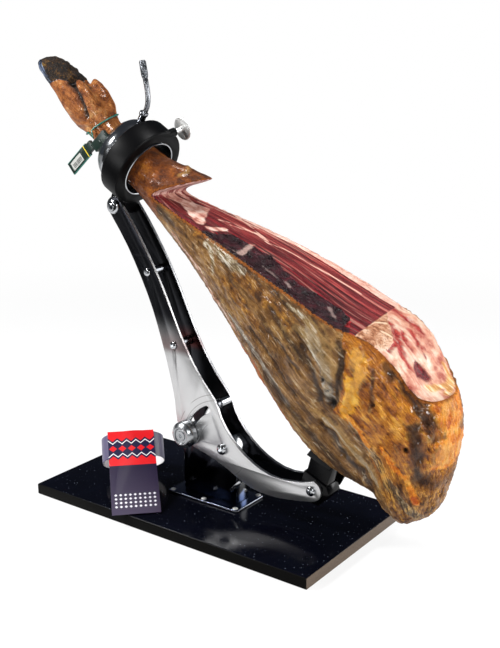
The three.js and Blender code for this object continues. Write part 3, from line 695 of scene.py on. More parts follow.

# %% [markdown]
# On the sides, each tone is a set of strokes with a half width: the yellow spots of the butt, the painted
# highlights on its orange rim and ridges, the dark strokes, which are dark skin and partly painted shade
# along the grooves and the lower edge, the grey strokes, which are grey skin and partly a painted sheen on
# the hip, the pink and amber seam along the back edge, and the golden and blanched patches of the skin.
# Grooves and ridges are strokes too, with a half width and a depth or a height.

# %% Ham: strokes on the sides
BUTT_BORDER = [(222, 285), (222, 272), (227, 257), (229, 233), (226, 215), (214, 196), (232, 183),
               (248, 162), (262, 137), (267, 117), (277, 91), (282, 60)]
TONES = {
    "yellow": [([(239, 261), (245, 254), (244, 240), (238, 225), (232, 206), (227, 195)], 6.5),
               ([(235, 233), (240, 219), (234, 202)], 7.5)],
    # Painted highlight: the orange rim on the right and the ridge strokes, where light catches the butt.
    "bright": [([(324, 197), (326, 182), (326, 167), (325, 149)], 6.5),
               ([(312, 218), (321, 206), (326, 190)], 4), ([(297, 138), (302, 123), (307, 109)], 4),
               ([(271, 164), (284, 147), (293, 139)], 4.5),
               ([(232, 193), (246, 181), (255, 165)], 3)],
    # Dark strokes: dark brown skin, and painted shade along the grooves, the lower edge and the notch under
    # the flap.
    "dark": [([(226, 262), (228, 248), (222, 229), (221, 209)], 2.7),
             ([(257, 247), (260, 220), (259, 206)], 2.9),
             ([(280, 247), (289, 237), (299, 225), (310, 210), (317, 195), (322, 178)], 4.3),
             ([(290, 232), (300, 216), (308, 205)], 2.9), ([(269, 255), (276, 241)], 4.9),
             ([(305, 192), (309, 174), (306, 154), (311, 137), (319, 128)], 7.2),
             ([(197, 175), (210, 163), (227, 144), (242, 130), (254, 115)], 3.4),
             ([(132, 298), (147, 281), (164, 264), (183, 247)], 4.9),
             ([(99, 267), (120, 250), (146, 225), (166, 203)], 3.1),
             ([(131, 270), (151, 255), (173, 236)], 2.9),
             ([(177, 262), (188, 248), (197, 228), (200, 206)], 3.8),
             ([(218, 272), (224, 257), (223, 239), (226, 225)], 3.4),
             ([(-75, 392), (-59, 379), (-32, 367)], 7),
             ([(118, 214), (146, 190), (172, 168), (205, 136), (232, 112)], 8)],
    # Grey strokes: grey-olive skin, and on the hip bulge a painted sheen where light falls from the left and
    # above.
    "grey": [([(184, 279), (196, 265), (207, 247), (211, 228), (210, 213)], 8.1),
             ([(65, 272), (82, 255), (103, 237), (128, 215), (151, 186)], 4.9),
             ([(64, 341), (79, 335), (91, 329)], 4.9),
             ([(236, 183), (249, 168), (263, 150), (269, 137)], 4.9),
             ([(202, 184), (216, 173), (228, 163), (243, 148), (258, 133), (265, 119)], 2.4),
             ([(277, 125), (286, 117), (295, 103), (304, 91)], 5.8)],
    "pink": [([(-37, 352), (-14, 335), (10, 318), (26, 297)], 4), ([(26, 297), (50, 272), (74, 250)], 3)],
    "gold": [([(8, 360), (35, 357), (52, 353)], 4), ([(80, 325), (106, 314), (135, 300), (157, 283)], 11),
             ([(61, 313), (86, 296), (110, 274)], 7)],
    "blanched": [([(28, 352), (39, 342), (39, 321)], 4), ([(50, 343), (72, 334), (89, 329)], 6),
                 ([(174, 282), (186, 268), (195, 253)], 3), ([(60, 347), (76, 339)], 5),
                 ([(31, 361), (52, 344)], 5), ([(154, 303), (178, 290), (193, 281)], 3),
                 ([(317, 110), (313, 96), (303, 79)], 4)],
    "amber": [([(20, 280), (62, 243), (87, 225), (103, 203)], 3), ([(103, 203), (130, 170), (160, 140)], 3)],
}
GROOVES = [([(279, 248), (288, 238), (299, 225), (310, 210), (317, 195), (322, 178)], 6.5, 5.5),
           ([(305, 192), (309, 174), (306, 154), (311, 137)], 9, 4.5),
           ([(197, 175), (210, 163), (227, 144), (242, 130), (254, 118)], 6.5, 4.5),
           ([(226, 262), (227, 246), (222, 229), (222, 213)], 3.5, 3),
           ([(177, 262), (188, 248), (197, 228), (200, 206)], 5.5, 3.5),
           ([(99, 267), (120, 250), (146, 225), (166, 203)], 3, 1.8),
           ([(83, 286), (117, 249), (149, 221), (178, 192)], 3, 1.6),
           ([(131, 270), (151, 255), (173, 236)], 3, 1.8)]
RIDGES = [([(305, 203), (315, 188), (320, 170)], 4, 2),
          ([(315, 217), (321, 202), (323, 177), (322, 152)], 6, 2.2),
          ([(202, 184), (216, 173), (228, 163), (243, 148), (258, 133), (265, 119)], 4.5, 2.6),
          ([(186, 284), (198, 266), (209, 247), (212, 224)], 7.5, 2.2),
          ([(240, 261), (245, 240), (238, 223), (231, 204)], 6.5, 2.2)]
HOLES = [(214, 204, 4.5, 5.5), (204, 230, 2.2, 3.4), (210, 219, 1.4, 1.6), (297, 168, 2, 3),
         (262, 212, 1.5, 2)]
SPINE = [(-290, 540), (-180, 470), (-95, 418), (-57, 395), (-17, 373), (71, 318), (153, 257), (220, 198),
         (269, 153), (289, 106), (296, 70)]
HORN_EDGE = [(5, -178), (14, -171), (26, -161), (31, -148), (40, -142)]
CLEFT = [(-148, 31), (-131, 30), (-117, 27), (-106, 21), (-98, 13)]
CREASES = [[(-111, -4), (-99, 4), (-89, 10)], [(-107, -9), (-95, -1), (-85, 5)]]
FLAP_FOLD = [(44, 8), (54, -2), (60, -12), (58, -20)]
print(sum(len(strokes) for strokes in TONES.values()), "strokes in", len(TONES), "tones")

# %% [markdown]
# Now every region is worked out from these lines. A little noise bends them first, because no border on
# a ham is straight.

# %% Ham: where each region lies
x, y, z = at.T
cut_xy, side_xz = at[:, [0, 1]], at[:, [0, 2]]
leg = leg_frame(at)


def along_spine(points):
    """How far along the leg each point lies, how far across it, and how far out from its middle line."""
    best = np.full(len(points), 1e9)
    grain = np.zeros((len(points), 3))
    run = 0.0
    for start, end in zip(np.array(SPINE[:-1], float), np.array(SPINE[1:], float)):
        step = end - start
        length = np.linalg.norm(step)
        share = np.clip(((points[:, [0, 2]] - start) @ step) / length ** 2, 0, 1)
        away = points[:, [0, 2]] - start - share[:, None] * step
        distance = np.linalg.norm(away, axis=1)
        side = np.sign(step[0] * away[:, 1] - step[1] * away[:, 0]) * distance
        here = np.stack([run + share * length, points[:, 1], side], 1)
        grain[distance < best] = here[distance < best]
        best = np.minimum(best, distance)
        run += length
    return grain


def line_y(line):
    return np.interp(x, *zip(*line))


def any_of(outlines, wobble):
    return np.max([border(depth_in(cut_xy, outline) + wobble) for outline in outlines], axis=0)


def seams(lines, width):
    """1 on the lines and 0 a width away from them."""
    return 1 - np.min([to_line(cut_xy, line) for line in lines], axis=0) / width


def brushed(strokes, points):
    """How strongly a tone shows: soft strokes, each given by its line and its half width."""
    return np.max([np.exp(-(to_line(points, line) / width) ** 2) for line, width in strokes], axis=0)


grain = along_spine(at)
across = (y - line_y(NEAR_RIM)) / (line_y(FAR_RIM) - line_y(NEAR_RIM))
fibre = np.stack([grain[:, 0], across * 95, 0 * x], 1)
wobble = 2.0 * rough(at, 16, 3)
warped = side_xz + 2.5 * np.stack([rough(at, 20, 3, shift=13.0), rough(at, 20, 3, shift=17.0)], 1)
border_x, border_z = zip(*BUTT_BORDER[::-1])
beyond = warped[:, 0] - np.interp(warped[:, 1], border_z, border_x)
region = {
    "cut": cut_depth,
    "across": np.clip(across, 0, 1),
    "band": border(line_y(BAND_EDGE) - y + wobble) * (x < BAND_END),
    "fat": border(y - line_y(FAT_EDGE) + wobble * 0.6),
    "pale": any_of(PALE, wobble),
    "muscle": any_of(MUSCLE, wobble * 0.5),
    "seam": seams(SEAMS, 5),
    "band_fat": seams(BAND_FAT, 7) + wobble * 0.1,
    "red_step": border(depth_in(cut_xy, RED_STEP)),
    "bone": border(depth_in(cut_xy, BONE) + wobble * 0.4),
    "bone_rim": seams(BONE_RIMS, 5),
    "hip": border(x - HIP_FROM + 0.12 * y),
    "streak": np.max([1 - to_line(cut_xy + wobble[:, None], line) / (2.2 * width)
                      for line, width in HIP_STREAKS], axis=0),
    "hollow": border(depth_in(cut_xy, RED_HOLLOW) + wobble),
    "butt": border(beyond, 10),
    "shank": np.maximum(border(-62 - x + wobble * 2, 18),
                        border(z - np.interp(x, *zip(*FLAP_UNDERSIDE)) + 3, 5) * (x < 20)),
    "gold_fat": brushed(GOLD_FAT, cut_xy),
    "foot": border(-55 - leg[:, 0], 20),
    # Painted shade in the notch under the flap.
    "corner": np.exp(-(np.linalg.norm(side_xz - FLAP_UNDERSIDE[0], axis=1) / 5.0) ** 2),
    "horn": border(np.interp(leg[:, 2], *zip(*HORN_EDGE)) - leg[:, 0] + wobble * 0.4),
    "cleft": np.exp(-(to_line(leg[:, [0, 2]], CLEFT) / 2.6) ** 2) * (y < 5),
    "hole": (y < 0) * np.max([np.exp(-np.hypot((x - hx) / rx, (z - hz) / rz) ** 2)
                              for hx, hz, rx, rz in HOLES], axis=0),
    "flap": relaxed(kind == 2, LINKS, 2, ALIKE),
}
region.update({name: brushed(strokes, warped) for name, strokes in TONES.items()})
region = {name: np.clip(value, 0, 1) for name, value in region.items()}
print("regions:", ", ".join(region))

# %% [markdown]
# The same regions shape the surface, in millimetres of height. The skin of the side has long wrinkles
# that run down the leg, and the butt has deep furrows and small pits where it dried.

# %% Ham: relief of the skin
def folds(lines, points):
    """Rounded ridges along lines, each given by its line, its half width and its height."""
    return sum(size * np.exp(-(to_line(points, line) / width) ** 2) for line, width, size in lines)


near = ease(-y, -10, 10)
skin = 1 - ease(region["cut"], 0.35, 0.65)
cut = 1 - skin
horn, butt, shank = region["horn"], ease(region["butt"], 0.3, 0.7), ease(region["shank"], 0.3, 0.7)
side = skin * (1 - butt) * (1 - shank)
lengthwise = rough(grain, 7, 3, (7, 1, 1), 3.1)
wrinkles = 1 - abs(rough(grain, 9, 3, (5, 1, 1), 7.7)) * 2.2
furrows = 1 - abs(rough(grain, 8, 3, (4, 1, 1), 1.3)) * 2.0
pits = rough(at, 4.5, 3, shift=9.0)
height = skin * 0.7 * rough(at, 42, 2, shift=2.0) + skin * 0.45 * rough(at, 9, 3, shift=5.0)
height += side * (1.0 * lengthwise + 1.0 * wrinkles * ease(grain[:, 0], 280, 420) + 0.7 * pits)
height += skin * butt * (1.2 * furrows + 1.3 * pits - 0.2)
height += skin * near * (folds(RIDGES, warped) - folds(GROOVES, warped) * (0.75 + 0.7 * rough(at, 12, 2)))
height -= 6 * region["hole"] * skin
height += skin * shank * (leg[:, 0] < -40) * (1 - horn) * 0.7 * rough(leg, 14, 3, (3, 1, 1), 4.0)
height += skin * (leg[:, 2] > 12) * folds([(FLAP_FOLD, 3.5, 2.4)], leg[:, :2])
print("skin relief from", round(float(height.min()), 1), "to", round(float(height.max()), 1), "mm")

# %% [markdown]
# The horn is worn to crumbs on its upper side, a cleft parts the toe from the dewclaw, and the skin
# creases where the ankle bends.

# %% Ham: relief of the foot
crumbs = ease(leg[:, 2] + 0.25 * (leg[:, 0] + 190), 18, 26) * ease(horn, 0.4, 0.7)
height += crumbs * (2.0 * rough(at, 5, 4, shift=6.0) + 0.6)
height -= 5.0 * skin * region["cleft"]
height -= 1.4 * skin * folds([(line, 1.8, 1.0) for line in CREASES], leg[:, [0, 2]]) * (y < 5)
print("crumbs on", int((crumbs > 0.5).sum()), "points of the horn")

# %% [markdown]
# On the cut, the dried band lies lower than the fresh face: it was carved earlier, and deeper. The meat
# has the fine grooves that a knife leaves along the fibres, and the bone and the fat stand a little
# proud. Relief fades out where the ring and the cradle touch the ham.

# %% Ham: relief of the cut
CRADLE_LOW, CRADLE_HIGH = (np.array(corner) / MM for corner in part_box("cradle_plate"))
MOST_OUT = 2.2
hip = ease(region["hip"], 0.4, 0.8)
bone = ease(region["bone"], 0.35, 0.75)
in_band = line_y(BAND_EDGE) - y
sunk = 1.2 * ease(in_band, 0, 1.5) + 3.6 * ease(in_band, 0, 24)
sunk = sunk * ease(y - line_y(NEAR_RIM), 0.5, 4) * (1 - hip)
height += cut * (0.14 * rough(fibre, 2.4, 2, (25, 1, 1), 2.0) * (1 - hip) - 0.5 * ease(region["cut"], 0.8, 1))
height -= cut * (kind == 1) * sunk * (1 + 0.35 * rough(at, 10, 3, shift=8.0))
height += cut * hip * (1.4 * bone + (1 - bone) * (1.4 * rough(at, 13, 3, shift=11.0) - 0.3))
hollows = 2.0 * ease(region["streak"], 0.5, 1) + 2.5 * ease(region["hollow"], 0.4, 1)
height -= cut * hip * (1 - bone) * hollows
height += 1.0 * cut * ease(region["fat"], 0.5, 0.9) * (1 - hip)
reach = np.linalg.norm(np.maximum(np.maximum(CRADLE_LOW - at, at - CRADLE_HIGH), 0), axis=1)
height *= ease(reach, 2, 12) * np.maximum(ease(leg[:, 0], 0, 8), ease(-leg[:, 0], 34, 40))
region["height"] = border(height, 6)
region["crumbs"] = crumbs


def place_net():
    ham_mesh.vertices.foreach_set("co", (at * MM).ravel())
    ham_mesh.update()


place_net()
outward = np.array([v.normal for v in ham_mesh.vertices])
at += outward * np.minimum(height, MOST_OUT)[:, None]
at = relaxed(at, LINKS, 1, HOLD)
place_net()
print("relief from", round(float(height.min()), 1), "to", round(float(height.max()), 1), "mm")

# %% [markdown]
# The regions and the grain direction are stored on the mesh, where the material reads them as attributes.

# %% Ham: store the regions
for name, value in region.items():
    ham_mesh.attributes.new(name, "FLOAT", "POINT").data.foreach_set("value", value.astype(np.float32))
for name, value in {"grain": grain, "fibre": fibre}.items():
    store = ham_mesh.attributes.new(name, "FLOAT_VECTOR", "POINT")
    store.data.foreach_set("vector", (value * MM).astype(np.float32).ravel())
print(len(ham_mesh.attributes), "attributes on the net")

# %% [markdown]
# The material layers one tissue over another, each mixed in by its region. All of them draw on the same
# few noises: even ones from broad to fine, streaks and wisps that are stretched along the skin's grain,
# and fibres and threads that are stretched along the meat. The fine noise also shifts every border, so
# no edge is smoother than the real one.

# %% Ham: noises and regions for the material
class TissueFinish(Finish):
    """A finish that knows the ham's regions and the noises that its tissues share."""

    def __init__(self, name):
        super().__init__(name)
        self.mask = {key: self.attribute(key) for key in region}
        along_leg = self.attribute("grain", "Vector")
        along_meat = self.attribute("fibre", "Vector")
        self.fine = self.noise(420, 4, 0.65)
        self.mid = self.noise(80, 5, 0.62)
        self.broad = self.noise(22, 4, 0.6)
        self.streaks = self.noise(130, 5, 0.65, self.mapped(along_leg, scale=(0.12, 1, 1)))
        self.wisps = self.noise(380, 4, 0.7, self.mapped(along_leg, scale=(0.1, 1, 1)), distort=0.2)
        self.fibres = self.noise(420, 3, 0.6, self.mapped(along_meat, scale=(0.03, 1, 1)))
        self.threads = self.noise(170, 3, 0.6, self.mapped(along_meat, scale=(0.035, 1, 1)), distort=0.15)

    def inside(self, name, low, high):
        """0 outside a region and 1 inside it, with a soft step between the two limits."""
        return self.ease(self.mask[name], low, high)

    def over(self, name, below, colour, low=0.47, high=0.53, shift=0.35):
        """Lays a colour over what is below, in a region whose border the fine noise breaks up."""
        return self.mix(self.ease(self.mask[name] + (self.fine - 0.5) * shift, low, high), below, colour)

    def tinge(self, name, below, colour, low=0.3, high=0.75, share=1.0):
        """Tints what is below where a tone's soft strokes lie, in flecks."""
        flecks = (self.wisps + self.streaks - 1) * 0.9
        return self.mix(self.ease(self.mask[name] + flecks, low, high) * share, below, colour)


print("tissues are mixed by", len(region), "regions")

# %% [markdown]
# The side is thin dry skin, brown with paler streaks down the leg. The strokes tint it golden, grey,
# blanched or dark, and a pink and amber seam runs along its back edge. The grey on the hip is partly a
# painted sheen, the dark is partly painted shade, and pale flecks are painted glints.

# %% Ham: colour of the side
def side_colour(f):
    side = f.ramp(f.wisps * 0.3 + f.streaks * 0.4 + f.broad * 0.3,
                  (0.38, "#2c1808"), (0.45, "#593812"), (0.5, "#7a5222"), (0.55, "#966d38"),
                  (0.63, "#c2a478"))
    gold = f.ramp(f.mid * 0.5 + f.wisps * 0.5,
                  (0.4, "#3c2006"), (0.48, "#744610"), (0.54, "#94601a"), (0.62, "#c08a34"))
    grey = f.ramp(f.streaks * 0.5 + f.wisps * 0.5,
                  (0.4, "#3a2a1c"), (0.48, "#6e5f4e"), (0.54, "#948878"), (0.62, "#c4bcb0"))
    blanched = f.ramp(f.wisps, (0.4, "#5e4420"), (0.5, "#a08c68"), (0.6, "#e0d8c8"))
    dark = f.ramp(f.wisps, (0.4, "#1c0e05"), (0.6, "#4c3014"))
    pink = f.ramp(f.wisps, (0.4, "#6e3c20"), (0.5, "#b88468"), (0.6, "#e0c4b0"))
    side = f.tinge("gold", side, gold)
    # Painted sheen on the hip, with grey skin elsewhere.
    side = f.tinge("grey", side, grey)
    side = f.tinge("blanched", side, blanched, 0.2, 1.1)
    # Painted shade in part: the dark strokes follow the grooves and the lower edge.
    side = f.tinge("dark", side, dark, 0.2, 1.0, 0.9)
    side = f.tinge("pink", side, pink)
    # Painted highlight: small pale glints painted into the side's colour.
    glint = f.ease(f.wisps, 0.57, 0.64) * f.ease(f.streaks, 0.46, 0.56)
    side = f.mix(glint * 0.3, side, paint("#efe2c4"))
    return f.tinge("amber", side, paint("#a4561c"))

# %% [markdown]
# The butt's rind is old fat that has turned yellow to orange. Towards its lower end it is browner. Its
# furrows are painted nearly black, partly dark rind and partly painted shade, its right rim and ridges
# carry painted highlights, and small pale flecks are painted glints.

# %% Ham: colour of the rind
def rind_colour(f):
    rind = f.ramp(f.mid * 0.3 + f.streaks * 0.35 + f.wisps * 0.35,
                  (0.4, "#4a2206"), (0.45, "#83430a"), (0.5, "#ac640e"), (0.55, "#c98016"),
                  (0.62, "#e6a432"))
    low_down = 1 - f.ease(f.parts()[2] + (f.mid - 0.5) * 0.05, 0.1, 0.18)
    browned = f.ramp(f.wisps * 0.6 + f.mid * 0.4, (0.4, "#241206"), (0.5, "#67400f"), (0.6, "#ab7c34"))
    grey = f.ramp(f.wisps, (0.4, "#2e2010"), (0.5, "#6a5638"), (0.6, "#a8987c"))
    yellow = f.ramp(f.mid, (0.35, "#c87c0c"), (0.5, "#f0a41c"), (0.65, "#fcc850"))
    bright = f.ramp(f.mid, (0.35, "#b8500a"), (0.5, "#e88a18"), (0.65, "#fcb444"))
    dark = f.ramp(f.wisps, (0.4, "#2a1204"), (0.6, "#6a3c10"))
    rind = f.mix(low_down * 0.7, rind, browned)
    # The grey strokes: grey rind here; on the side they also carry a painted sheen.
    rind = f.tinge("grey", rind, grey, share=0.8)
    rind = f.tinge("yellow", rind, yellow)
    # Painted highlight on the butt's right rim and ridges.
    rind = f.tinge("bright", rind, bright)
    # Painted highlight: small pale yellow glints painted into the rind's colour.
    rind = f.mix(f.ease(f.wisps * 0.5 + f.streaks * 0.5, 0.54, 0.6) * 0.5, rind, paint("#f0b048"))
    # Painted shade in part: the dark strokes darken the furrows.
    return f.tinge("dark", rind, dark, 0.15, 1.05, 0.9)

# %% [markdown]
# The shank's skin is dark and oiled, and the foot's is paler. The horn has a smooth blue-black nail in
# front, with painted pale blue highlights, and dark brown crumbs above. The colour is darkened as painted
# shade where the relief lies deep, and is paler where it stands proud, so the relief's height is one of
# the masks. The cleft and the holes are painted near black, as painted shade.

# %% Ham: colour of the whole skin
def leg_colour(f):
    shank = f.ramp(f.broad * 0.45 + f.mid * 0.35 + f.fine * 0.2,
                   (0.38, "#240e02"), (0.46, "#5a2906"), (0.54, "#8a470a"), (0.64, "#b46c16"))
    foot = f.ramp(f.broad * 0.3 + f.mid * 0.4 + f.streaks * 0.3,
                  (0.38, "#34150a"), (0.45, "#7a3f12"), (0.52, "#a5622a"), (0.6, "#cc9458"))
    return f.mix(f.mask["foot"], shank, foot)


def horn_colour(f, crumbly):
    crumbs = f.ramp(f.mid * 0.5 + f.fine * 0.5,
                    (0.4, "#080503"), (0.5, "#1e130a"), (0.57, "#4a3014"), (0.66, "#93702c"))
    # Painted highlight: the nail's pale blue tones are painted reflections on the blue-black nail.
    nail_and_highlight = f.ramp(f.streaks * 0.6 + f.mid * 0.4,
                  (0.42, "#06070c"), (0.5, "#1c2434"), (0.57, "#5c6c8a"), (0.64, "#a4b0c4"))
    return f.mix(crumbly, nail_and_highlight, crumbs)


def skin_colour(f, crumbly):
    skin = f.over("butt", side_colour(f), rind_colour(f), 0.42, 0.58, 0.5)
    skin = f.mix(f.inside("shank", 0.25, 0.75), skin, leg_colour(f))
    # Painted shade: the colour is darkened where the relief lies deep.
    hollow = f.ease(0.5 - f.mask["height"] + (f.fine - 0.5) * 0.15, 0.08, 0.5)
    skin = f.mix(hollow * 0.6, skin, paint("#241004"))
    # Paler where the relief stands highest.
    high_relief_pale = f.ease(f.mask["height"] + (f.fine - 0.5) * 0.2, 0.62, 0.85)
    skin = f.mix(high_relief_pale * 0.35, skin, paint("#c9a05c"))
    # Painted shade: the cleft between toe and dewclaw is painted near black.
    skin = f.mix(f.mask["cleft"], skin, paint("#0c0603"))
    skin = f.over("horn", skin, horn_colour(f, crumbly))
    # Painted shade: the holes in the skin are painted near black.
    return f.mix(f.inside("hole", 0.3, 0.8), skin, paint("#0c0603"))

# %% [markdown]
# Fresh-cut meat is deep red with pale threads along its fibres, and paler towards the far rim. The band
# that was cut earlier has dried to purple-black, with its fat gone grey.

# %% Ham: colour of the meat
def meat_colour(f):
    near_meat = f.ramp(f.fibres, (0.4, "#200206"), (0.5, "#4e060e"), (0.6, "#86101b"))
    far_meat = f.ramp(f.fibres, (0.4, "#3e060c"), (0.5, "#7a1921"), (0.6, "#b04d45"))
    meat = f.mix(f.inside("across", 0.3, 0.8), near_meat, far_meat)
    meat = f.mix(f.ease(f.threads, 0.56, 0.64) * 0.55, meat, paint("#c98878"))
    meat = f.mix((1 - f.ease(f.threads, 0.36, 0.46)) * 0.35, meat, paint("#2e040a"))
    pale = f.ramp(f.threads * 0.25 + f.mid * 0.75, (0.38, "#9c5248"), (0.48, "#c89482"), (0.58, "#e6cabc"))
    meat = f.over("pale", meat, pale, 0.35, 0.65, 0.7)
    meat = f.over("muscle", meat, f.ramp(f.fibres, (0.4, "#38060a"), (0.6, "#741418")))
    return f.mix(f.ease(f.mask["seam"] + (f.threads - 0.5) * 1.4, 0.7, 0.9), meat, paint("#dcb09c"))


def dried_colour(f):
    dried = f.ramp(f.mid * 0.6 + f.fine * 0.4,
                   (0.38, "#080203"), (0.5, "#20060c"), (0.58, "#3c0e18"), (0.68, "#74242e"))
    marbled = f.ease(f.mask["band_fat"] + (f.mid - 0.5) * 1.6, 0.6, 1.0)
    dried = f.mix(marbled * 0.8, dried, paint("#8f7a74"))
    dried = f.over("red_step", dried, f.ramp(f.mid, (0.4, "#5e080c"), (0.6, "#a8161a")))
    return f.over("pale", dried, f.mix(f.fine, paint("#7c5e58"), paint("#bfa398")), 0.3, 0.7, 0.8)

# %% [markdown]
# At the hip the knife has passed through gristle and fat, with streaks of muscle and a red hollow in
# them, and the hip bone was sawn, which opens its pores.

# %% Ham: colour of the hip
def gristle_colour(f):
    tissue = f.ramp(f.mid * 0.5 + f.broad * 0.5,
                    (0.38, "#a04c3e"), (0.46, "#cc9078"), (0.52, "#d8b098"), (0.6, "#e6d0ba"))
    tissue = f.mix(f.ease(f.streaks, 0.5, 0.62) * 0.45, tissue, paint("#b4604e"))
    golden = f.ease(f.mask["gold_fat"] + (f.mid - 0.5) * 0.8, 0.3, 0.9)
    gold = f.ramp(f.streaks, (0.4, "#b87a28"), (0.5, "#dcae60"), (0.58, "#f6e8c8"))
    tissue = f.mix(golden * 0.8, tissue, gold)
    streaked = f.ease(f.mask["streak"] + (f.mid + f.streaks - 1) * 1.2, 0.15, 0.95)
    red = f.ramp(f.fine * 0.5 + f.streaks * 0.5, (0.4, "#6a0c12"), (0.5, "#9a2422"), (0.6, "#b84a3e"))
    tissue = f.mix(streaked, tissue, red)
    return f.over("hollow", tissue, f.ramp(f.fine, (0.4, "#2c0408"), (0.6, "#7e141c")), 0.3, 0.7, 0.8)


def bone_colour(f):
    lit_end_and_sawn_bone = f.ramp(f.mid * 0.6 + f.fine * 0.4,
                  (0.4, "#7e4426"), (0.47, "#b07a58"), (0.54, "#cca082"), (0.62, "#e0c2a8"))
    pores = (1 - f.ease(f.cells(300), 0.12, 0.34)) * f.ease(f.mid, 0.46, 0.56)
    lit_end_and_sawn_bone = f.mix(pores * 0.85, lit_end_and_sawn_bone, paint("#5e2410"))
    rimmed = f.ease(f.mask["bone_rim"] + (f.fine - 0.5) * 0.6, 0.5, 0.85)
    return f.mix(rimmed * 0.8, lit_end_and_sawn_bone, paint("#ecd2b4"))


def cut_colour(f):
    fat = f.ramp(f.threads * 0.5 + f.mid * 0.5, (0.38, "#c08070"), (0.5, "#dcac9a"), (0.62, "#ecd2c4"))
    flap = f.ramp(f.threads, (0.4, "#7c2a26"), (0.5, "#c8887c"), (0.6, "#ecd0c4"))
    cut = f.over("band", meat_colour(f), dried_colour(f))
    cut = f.over("fat", cut, fat)
    cut = f.over("flap", cut, flap, 0.4, 0.6, 0.1)
    # Painted shade: the notch under the flap is painted dark.
    cut = f.mix(f.mask["corner"] * 0.85, cut, paint("#2a0506"))
    return f.over("hip", cut, f.over("bone", gristle_colour(f), bone_colour(f)), 0.4, 0.6)

# %% [markdown]
# Last come the gloss and the finest relief. Oil lies in patches on the skin, the nail is polished, the
# fresh cut is moist, and the crumbs and the dry rim of the cut are dull.

# %% Ham: the finished material
def cured_ham():
    f = TissueFinish("cured_ham")
    crumbly = f.inside("crumbs", 0.3, 0.6) * f.inside("horn", 0.4, 0.6)
    nailed = f.inside("horn", 0.4, 0.6) * (1 - crumbly)
    wet = f.inside("cut", 0.4, 0.6)
    moist_band = f.inside("band", 0.4, 0.6) * wet
    dry_rim = f.inside("cut", 0.02, 0.2) * (1 - f.inside("cut", 0.5, 0.7))
    colour = f.over("cut", skin_colour(f, crumbly), cut_colour(f), 0.46, 0.54, 0.2)
    rim = f.inside("cut", 0.12, 0.3) * (1 - f.inside("cut", 0.42, 0.5))
    colour = f.mix(rim * 0.85, colour, f.mix(f.fine, paint("#5a2606"), paint("#b8681c")))
    oil = 0.04 + 0.5 * f.ease(f.broad * 0.5 + f.mid * 0.5, 0.44, 0.58)
    relief = f.streaks * 0.4 + f.mid * 0.5 + f.fine * 0.4 + f.wisps * 0.5
    return f.surface(
        Base_Color=colour, Specular_IOR_Level=0.25, Coat_Roughness=0.12,
        Roughness=0.45 + 0.18 * f.mid - 0.1 * wet - 0.3 * nailed + 0.3 * dry_rim - 0.15 * moist_band
        + 0.25 * crumbly,
        Coat_Weight=oil * (1 - 0.6 * wet) * (1 - dry_rim) * (1 - crumbly),
        Normal=f.bump(f.fibres * wet, 0.0004, f.bump(relief * (1 - 0.6 * wet), 0.012)))


ham = bpy.data.objects.new("fine_ham", ham_mesh)
ham.data.shade_smooth()
dress(ham, cured_ham(), "ham")
print("ham:", sum(len(face.vertices) - 2 for face in ham_mesh.polygons), "triangles")

# %% [markdown]
# The tie is one plastic-coated wire. It is pulled tight round the ankle, so it runs straight from bulge
# to bulge: rays shot at the ham from all round find the skin, and the hull of the points they hit is the
# wire's line, closed through the tag's lock.

# %% Tie
TIE_MIDDLE = Vector((-179.7, 0, 470.8))
TIE_AXIS = Vector((0.464, 0.263, -0.846)).normalized()
TIE_END = Vector((-168.5, -26.5, 467))
TIE_LOCK = Vector((-161, -31.5, 459))
TIE_RAYS = 24
TIE_RADIUS = 1.0


def coated_wire():
    f = Finish("coated_wire")
    return f.surface(Base_Color=f.mix(f.noise(300), paint("#0a4a42"), paint("#0f6a5c")), Roughness=0.3,
                     Normal=f.bump(f.noise(900), 0.00003))


def taut_loop():
    """The wire's line round the ankle, in millimetres."""
    points = [vert.co / MM for vert in ham_mesh.vertices]
    net = BVHTree.FromPolygons(points, [face.vertices[:] for face in ham_mesh.polygons])
    plane = TIE_AXIS.to_track_quat("Z", "X").to_matrix()
    found = []
    for step in range(TIE_RAYS):
        angle = step * math.tau / TIE_RAYS
        outward = plane @ Vector((math.cos(angle), math.sin(angle), 0))
        skin_at = net.ray_cast(TIE_MIDDLE + 60 * outward, -outward)[0]
        found.append(skin_at + 1.5 * TIE_RADIUS * outward)
    flat = [(plane.transposed() @ (spot - TIE_MIDDLE)).xy for spot in found]
    line = [found[i] for i in convex_hull_2d(flat)]
    nearest = min(range(len(line)), key=lambda i: (line[i] - TIE_END).length)
    return line[:nearest] + [TIE_END, TIE_LOCK] + line[nearest + 1:]


def wire(line, radius):
    """A round wire along a closed line, in millimetres: a curve with a round section, made a mesh."""
    curve = bpy.data.curves.new("wire", "CURVE")
    curve.dimensions = "3D"
    curve.bevel_depth = radius * MM
    curve.bevel_resolution = 3
    spline = curve.splines.new("POLY")
    spline.points.add(len(line) - 1)
    spline.use_cyclic_u = True
    for point, spot in zip(spline.points, line):
        point.co = (*(spot * MM), 1)
    holder = bpy.data.objects.new("wire", curve)
    scene.collection.objects.link(holder)
    mesh = bpy.data.meshes.new_from_object(holder.evaluated_get(bpy.context.evaluated_depsgraph_get()))
    bpy.data.objects.remove(holder)
    bm = bmesh.new()
    bm.from_mesh(mesh)
    bmesh.ops.remove_doubles(bm, verts=bm.verts, dist=1e-6)
    bmesh.ops.recalc_face_normals(bm, faces=bm.faces)
    return bm


tie_line = taut_loop()
piece("tie", [wire(tie_line, TIE_RADIUS)], coated_wire(), smooth=80)
tie_long = sum((a - b).length for a, b in zip(tie_line, tie_line[1:] + tie_line[:1]))
print("tie: a wire", round(tie_long), "mm long")

# %% [markdown]
# The tag is a flat plastic strip with a thicker lock at its end. Its grey panel is blank but for a row
# of plain bars, and a yellow strip crosses it near the lock.

